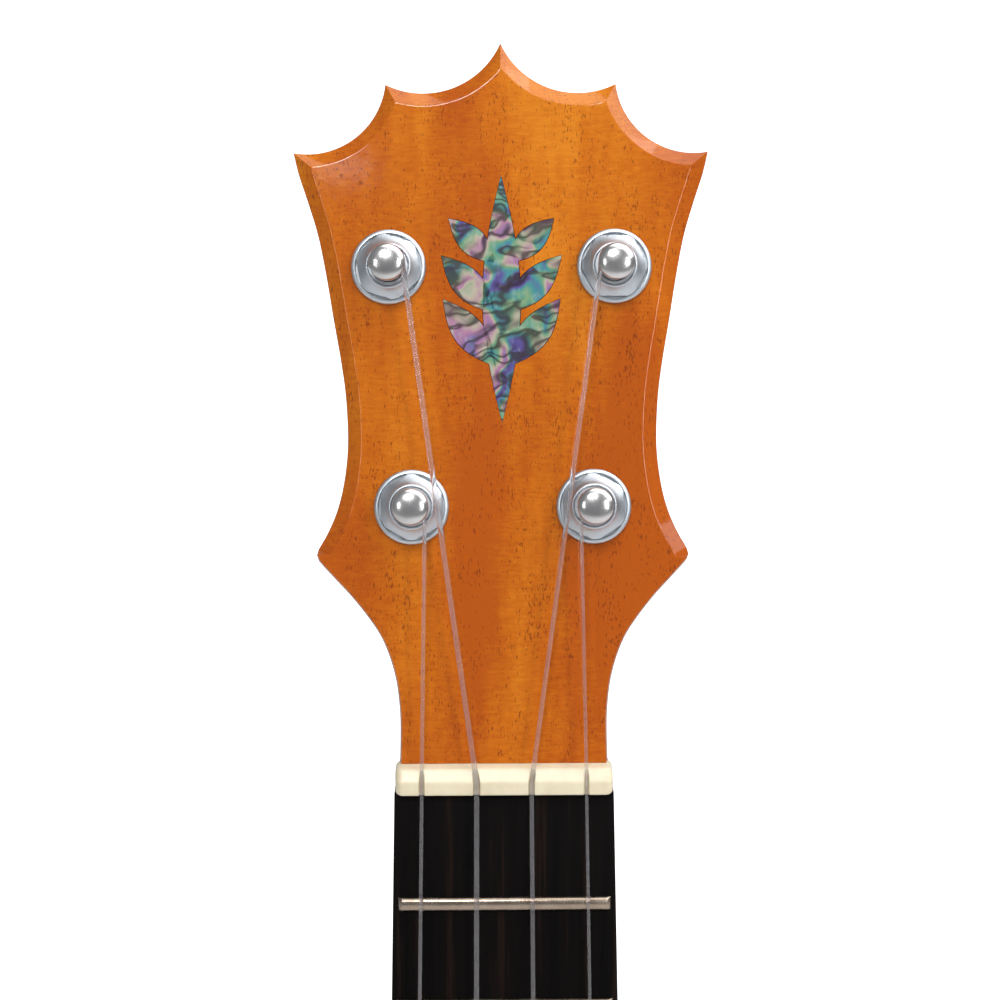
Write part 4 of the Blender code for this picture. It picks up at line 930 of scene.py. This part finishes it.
caseShape = {
    "outer": [(4.1, 1.75), (4.1, -12.9), (4.1, -13.1), (7.45, -13.1), (7.6, -13.25), (7.6, -19.6),
              (7.42, -19.72), (7.42, -19.92), (7.58, -20.05), (7.58, -20.5), (7.1, -21.15), (6.8, -21.28),
              (3.0, -21.28), (2.9, -21.2), (2.8, -21.0), (2.32, -21.0)],
    "inner": [(2.32, -20.08), (5.9, -20.08), (5.9, -14.3), (3.27, -14.3), (3.27, 1.75)],
    "dimple": [(0.7, -20.9), (0.7, -22)], "dimplesOut": 5.4 * mm, "dimplesAt": (45.0, 225.0),
}


def caseMesh(name, letter):
    s = caseShape
    x, y, _ = tunerPlaces[letter]
    profile = np.array(s["outer"] + s["inner"]) * mm
    mesh = ringMesh("case", turnedOnHead(profile, (x, y), 96), joined=True, sharp=25.0)
    grip = []
    for a in np.radians(s["dimplesAt"]):
        centre = (x + s["dimplesOut"] * math.cos(a), y + s["dimplesOut"] * math.sin(a))
        grip.append(ringMesh("dimple", turnedOnHead(np.array(s["dimple"]) * mm, centre, 24)))
    return combined(name, mesh, grip, sharp=25.0)


postShape = {
    "profile": [(4.9, -15.62), (4.9, -14.42), (3.15, -14.42), (3.15, 0.7), (3.0, 0.95), (2.65, 1.1),
                (2.65, 3.9), (2.58, 4.12), (2.0, 4.5), (1.95, 4.62), (1.95, 7.3), (2.05, 7.5), (2.85, 7.8),
                (3.0, 7.95), (3.05, 8.15), (3.05, 8.5)],
    "domeRadius": 3.05, "domeFrom": 8.5, "domeRise": 1.05, "tip": (0.16, 9.55),
    "pin": [(0.7, -18.9), (0.7, -15.2)], "pinOut": 3.6, "boreRadius": 0.65 * mm, "boreLevel": 6.65 * mm,
}


def postMesh(name, letter):
    s = postShape
    x, y, _ = tunerPlaces[letter]
    t = np.linspace(0.0, math.pi / 2, 14)[1:-1]
    dome = [(s["domeRadius"] * math.cos(a), s["domeFrom"] + s["domeRise"] * math.sin(a)) for a in t]
    profile = np.array(s["profile"] + dome + [s["tip"]]) * mm
    whole = ringMesh("post", turnedOnHead(profile, (x, y), 96), sharp=30.0)
    pin = np.array(s["pin"]) * mm
    pins = [ringMesh("pin", turnedOnHead(pin, (x + side * s["pinOut"] * mm, y), 24)) for side in (1, -1)]
    whole = combined("post", whole, pins, "UNION")
    across, along = circlePoints(s["boreRadius"], 20)
    bore = [onHead(np.full(20, x + reach), y + across, s["boreLevel"] + along) for reach in (-6 * mm, 6 * mm)]
    return combined(name, whole, [ringMesh("bore", bore)], sharp=30.0)


# each section is its share of the length, its width and thickness, and how square it is
buttonShape = {
    "square": 1.72 * mm, "squareTop": -29.62, "start": -21.52, "length": 16.0,
    "sections": [
        (0.0, 8.7, 8.7, 2.0), (0.015, 9.1, 9.1, 2.0), (0.10, 9.2, 9.2, 2.0), (0.125, 8.6, 8.6, 2.0),
        (0.24, 7.0, 6.6, 2.1), (0.34, 9.6, 6.4, 2.2), (0.44, 15.2, 6.9, 2.4), (0.53, 18.2, 7.5, 2.4),
        (0.62, 19.0, 8.0, 2.4), (0.72, 18.8, 8.0, 2.4), (0.82, 17.6, 7.8, 2.4), (0.90, 15.2, 7.1, 2.35),
        (0.96, 11.6, 5.6, 2.2), (0.99, 7.6, 3.6, 2.1), (1.0, 4.0, 1.8, 2.0),
    ],
}


def buttonMesh(name, letter):
    shape = buttonShape
    x, y, _ = tunerPlaces[letter]
    t = 2 * math.pi * np.arange(96) / 96
    c, s = np.cos(t), np.sin(t)
    # the square socket first, then the outside
    reach = shape["square"] / np.maximum(np.abs(c), np.abs(s))
    levels = (shape["squareTop"], shape["start"])
    rings = [onHead(x + reach * c, y + reach * s, level * mm) for level in levels]
    for share, width, thick, power in smoothThrough(shape["sections"], 4):
        u = width / 2 * mm * np.sign(c) * np.abs(c) ** (2 / power)
        v = thick / 2 * mm * np.sign(s) * np.abs(s) ** (2 / power)
        rings.append(onHead(x + u, y + v, (shape["start"] - shape["length"] * share) * mm))
    return ringMesh(name, rings, sharp=40.0)


washerProfile = [(2.74, 1.5), (3.22, 1.5), (3.22, 1.78), (3.4, 1.8), (3.4, 2.4), (3.3, 2.5),
                 (2.84, 2.5), (2.74, 2.4)]


def washerMesh(name, letter):
    # a washer inside the nut's mouth, round the post
    x, y, _ = tunerPlaces[letter]
    return ringMesh(name, turnedOnHead(np.array(washerProfile) * mm, (x, y), 64), joined=True)


for letter in letters:
    washer, bushing, case, post, knob = (
        f"{kind}{letter.upper()}" for kind in ("washer", "bushing", "case", "post", "knob"))
    piece(washer, washerMesh(washer, letter), satin, "ukulele")
    piece(bushing, bushingMesh(bushing, letter), satin, "ukulele", [f"bushing_nut_{letter}"])
    piece(case, caseMesh(case, letter), satin, "ukulele", [f"gear_case_{letter}"])
    piece(post, postMesh(post, letter), polished, f"post_{letter}",
          [f"string_post_{letter}"])
    piece(knob, buttonMesh(knob, letter), plastic, f"knob_{letter}", [f"button_{letter}"])
print("tuners made")

bodyShape = {
    "half": (24.5, 65.0, 53.5, 85.0), "front": 4.6, "back": 59.4, "plate": 1.8, "rounding": 0.7,
    "sideWall": 1.8 * mm, "joint": 0.05 * mm, "sideDepths": (6.4, 57.6),
    "holeEdge": [(24.0, 6.4), (24.0, 5.0), (24.12, 4.72), (24.4, 4.6), (30.0, 4.6)],
}


def bodyEdge(steps=9):
    shoulder, upper, waist, lower = bodyShape["half"]
    # half widths against shares of the length
    knots = [
        (shoulder, 0.0), (upper * 0.72, 0.022), (upper * 0.92, 0.07), (upper, 0.155), (upper * 0.955, 0.255),
        (waist * 1.035, 0.36), (waist, 0.425), (waist * 1.06, 0.495), (lower * 0.83, 0.595),
        (lower * 0.955, 0.68), (lower, 0.765), (lower * 0.955, 0.865), (lower * 0.79, 0.945),
        (lower * 0.5, 0.986), (lower * 0.2, 0.999), (0.0, 1.0),
    ]
    knots = [(half, share * (bodyLength / mm)) for half, share in knots]
    curve = smoothThrough(knots, steps) * mm
    return np.column_stack([curve[:, 0], neckEnd - curve[:, 1]])


def bodyLoop():
    right = bodyEdge()
    left = (right * np.array([-1.0, 1.0]))[::-1]
    shoulder = bodyShape["half"][0] * mm
    top = np.linspace(-shoulder, shoulder, 12)[1:-1]
    return np.vstack([right[:-1], left, np.column_stack([top, np.full(10, neckEnd)])])


def atDepth(outline, y):
    return np.column_stack([outline[:, 0], np.full(len(outline), y * mm), outline[:, 1]])


def plateRings(outline, outside, way):
    # the outer face's edge is rounded, the inner one is square
    r = bodyShape["rounding"]
    rings = []
    for a in np.linspace(0.0, math.pi / 2, 6):
        inset = loopInset(outline, r * (1 - math.sin(a)) * mm)
        rings.append(atDepth(inset, outside + way * r * (1 - math.cos(a))))
    return rings + [atDepth(outline, outside + way * bodyShape["plate"])]


def soundboardMesh():
    outline = bodyLoop()
    rings = plateRings(outline, bodyShape["front"], 1)
    angle = np.arctan2(outline[:, 1] - holeZ, outline[:, 0])
    for r, y in np.array(bodyShape["holeEdge"]) * mm:
        circle = [r * np.cos(angle), np.full(len(angle), y), holeZ + r * np.sin(angle)]
        rings.append(np.column_stack(circle))
    return ringMesh("frontPlate", rings, joined=True, sharp=30.0)


piece("frontPlate", soundboardMesh(), amberFront, "ukulele", ["soundboard"])
backPlate = ringMesh("backPlate", plateRings(bodyLoop(), bodyShape["back"], -1))
piece("backPlate", backPlate, amber, "ukulele", ["back"])


def sideMesh(name, sign):
    # a bent strip, open at the centre line and cut away round the neck's tenon
    wall, joint = bodyShape["sideWall"], bodyShape["joint"]
    outer = bodyEdge()
    inner = movedLeft(outer, -wall)
    inner[0] = (bodyShape["half"][0] * mm, neckEnd - wall)
    outer[-1] = (joint, bodyBottom)
    inner[-1] = (joint, bodyBottom + wall)
    loop = np.vstack([[(joint, neckEnd)], outer, inner[::-1], [(joint, neckEnd - wall)]])
    loop = loop * np.array([sign, 1.0])
    whole = ringMesh(name, [atDepth(loop, y) for y in bodyShape["sideDepths"]], sharp=40.0)
    room = boxMesh("room", (-8.1 * mm, 12.0 * mm, neckEnd - 11.1 * mm),
                   (8.1 * mm, 42.2 * mm, neckEnd + 1.5 * mm))
    return combined(name, whole, [room], sharp=40.0)


piece("rightSide", sideMesh("rightSide", 1.0), amber, "ukulele", ["side_right"])
piece("leftSide", sideMesh("leftSide", -1.0), amber, "ukulele", ["side_left"])
print("body made")


def pushedAcross(name, profile, half, slopeFrom, slopeTall, slope):
    # a section seen from the side, pushed across, its ends leaning in with height
    rings = []
    for sign in (-1.0, 1.0):
        x = sign * (half - slope * (slopeFrom - profile[:, 1]) / slopeTall)
        rings.append(np.column_stack([x, profile[:, 1], profile[:, 0]]) * mm)
    return ringMesh(name, rings, sharp=35.0)


# corners are (distance up from the saddle's line, height) pairs
bridgeSizes = {
    "corners": [(-2.0, 4.5), (9.5, 4.5), (9.5, 2.4), (2.9, -1.6), (-2.3, -1.6), (-2.3, 2.0), (-6.5, 2.0),
                (-6.5, -1.6), (-13.0, -1.6), (-13.0, 4.5), (-2.0, 4.5)],
    "rounding": 0.4, "lean": (39.0, 4.5, 6.2, 3.0),
    "tieRadius": 0.9 * mm, "tieLevel": 0.2 * mm, "tie": (-14.0, -5.5),
}
saddleSizes = {
    "corners": [(0.0, 1.0), (1.3, 1.0), (1.3, -4.42), (0.5, -4.94), (-0.5, -4.94), (-1.3, -4.42),
                (-1.3, 1.0), (0.0, 1.0)],
    "rounding": 0.35, "lean": (31.0, 1.0, 6.0, 0.5),
}


def saddleLineProfile(sizes):
    corners = np.array(sizes["corners"]) + np.array([saddleZ / mm, 0.0])
    return rounded(corners, sizes["rounding"], 4)[:-1]


def bridgeMesh():
    s = bridgeSizes
    whole = pushedAcross("bridge", saddleLineProfile(s), *s["lean"])
    cutters = [boxMesh("seat", (-31.1 * mm, -6.6 * mm, saddleZ - 1.4 * mm),
                       (31.1 * mm, 1.1 * mm, saddleZ + 1.4 * mm))]
    cx, cy = circlePoints(s["tieRadius"], 24)
    for index in range(4):
        x = (index - 1.5) * stringSet["saddleStep"]
        hole = [np.stack([x + cx, s["tieLevel"] + cy, np.full(24, (saddleZ / mm + z) * mm)], axis=-1)
                for z in s["tie"]]
        cutters.append(ringMesh("tie", hole))
    return combined("bridgeShape", whole, cutters, sharp=35.0)


def saddleMesh():
    return pushedAcross("saddleShape", saddleLineProfile(saddleSizes), *saddleSizes["lean"])


piece("bridgeShape", bridgeMesh(), ebony, "ukulele", ["bridge"])
piece("saddleShape", saddleMesh(), bone, "ukulele", ["saddle"])

# the parts that nobody sees keep their own solids and only take a material
blocks = ("neck_block", "tail_block", "soundhole_brace", "bridge_patch", "back_brace")
carried = {node: paleWood for node in blocks}
for letter in letters:
    carried[f"drive_shaft_{letter}"] = satin
    carried[f"planet_1_{letter}"] = brass
    carried[f"planet_2_{letter}"] = brass
for node, material in carried.items():
    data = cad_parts[node].data
    data.materials.clear()
    data.materials.append(material)
print("bridge made")


def stageMaterial():
    # seen straight on, the paper burns out to white; to everything else it is a dim pale sheet
    material, tree, shader, coordinates = newMaterial(
        "studio paper", Roughness=0.85, Specular_IOR_Level=0.1, Emission_Strength=1.0)
    cloud = noiseOf(tree, coordinates, 3.0, 2.0, 0.5)
    tones = rampOf(tree, cloud, [(0.3, (0.76, 0.76, 0.76)), (0.7, (0.79, 0.79, 0.79))])
    tree.links.new(tones, shader.inputs["Base Color"])
    direct = tree.nodes.new("ShaderNodeLightPath").outputs["Is Camera Ray"]
    tree.links.new(mixed(tree, direct, (0.06, 0.06, 0.06), (1.0, 1.0, 1.0)), shader.inputs["Emission Color"])
    return material


paper = {"floorZ": -0.4165, "bend": 0.8, "wallY": 1.4, "top": 3.5, "half": 14.0}


def backdropMesh():
    # a floor, a quarter turn and a wall, swept sideways
    floorZ, bend, wallY, half = (paper[label] for label in ("floorZ", "bend", "wallY", "half"))
    t = np.linspace(0.0, math.pi / 2, 24)
    curve = np.column_stack([wallY + bend * np.sin(t), floorZ + bend * (1 - np.cos(t))])
    line = np.vstack([[(-half, floorZ)], curve, [(wallY + bend, paper["top"])]])
    points = np.vstack([np.column_stack([np.full(len(line), x), line]) for x in (-half, half)])
    count = len(line)
    low = np.arange(count - 1)
    faces = np.stack([low, low + 1, low + 1 + count, low + count], axis=-1)[:, ::-1].tolist()
    mesh = bpy.data.meshes.new("backdrop")
    mesh.from_pydata(points.tolist(), [], faces)
    mesh.shade_smooth()
    return mesh


backdrop = placed("backdrop", backdropMesh())
backdrop.data.materials.append(stageMaterial())

world = bpy.data.worlds.new("studio")
world.use_nodes = True
background = world.node_tree.nodes["Background"]
background.inputs["Color"].default_value = (0.88, 0.91, 0.95, 1.0)
# the same white behind the paper's edges when looked at, and soft even light otherwise
looked = world.node_tree.nodes.new("ShaderNodeLightPath").outputs["Is Camera Ray"]
strength = spread(world.node_tree, looked, 0.0, 1.0, 0.30, 1.2)
world.node_tree.links.new(strength, background.inputs["Strength"])
bpy.context.scene.world = world

# where each light stands, its width and height, and its power
softboxes = {
    "front": ((-0.15, -1.05, 0.95), (0.35, 0.25), 7.5),
    "frontRight": ((0.75, -1.1, 0.38), (0.2, 0.4), 3.2),
    "glint": ((-0.10, -1.09, 0.535), (0.04, 0.015), 0.008),
    "frontLeft": ((-0.75, -1.1, 0.38), (0.12, 0.3), 1.2),
    "right": ((0.95, -0.35, 1.05), (1.3, 1.1), 12.0),
    "top": ((0.25, -0.2, 1.4), (1.2, 1.1), 8.0),
}


def addSoftbox(name, place, size, power):
    light = bpy.data.lights.new(name, "AREA")
    light.shape = "RECTANGLE"
    light.size, light.size_y = size
    light.energy = power
    obj = placed(name, light)
    obj.location = place
    toHead = Vector((0.0, 0.01, 0.06)) - Vector(place)
    obj.rotation_euler = toHead.to_track_quat("-Z", "Y").to_euler()


for name, (place, size, power) in softboxes.items():
    addSoftbox(name, place, size, power)

view = {
    "lens": 85.16, "sensor": 36.0,
    "place": (-0.003, -0.37955, 0.13019), "turn": (1.36364, 0.00347, -0.00727),
}
camera = bpy.data.cameras.new("camera")
camera.lens = view["lens"]
camera.sensor_width = view["sensor"]
cameraObject = placed("camera", camera)
cameraObject.location = view["place"]
cameraObject.rotation_euler = view["turn"]
bpy.context.scene.camera = cameraObject
bpy.context.scene.view_settings.view_transform = "Standard"
print("stage made")
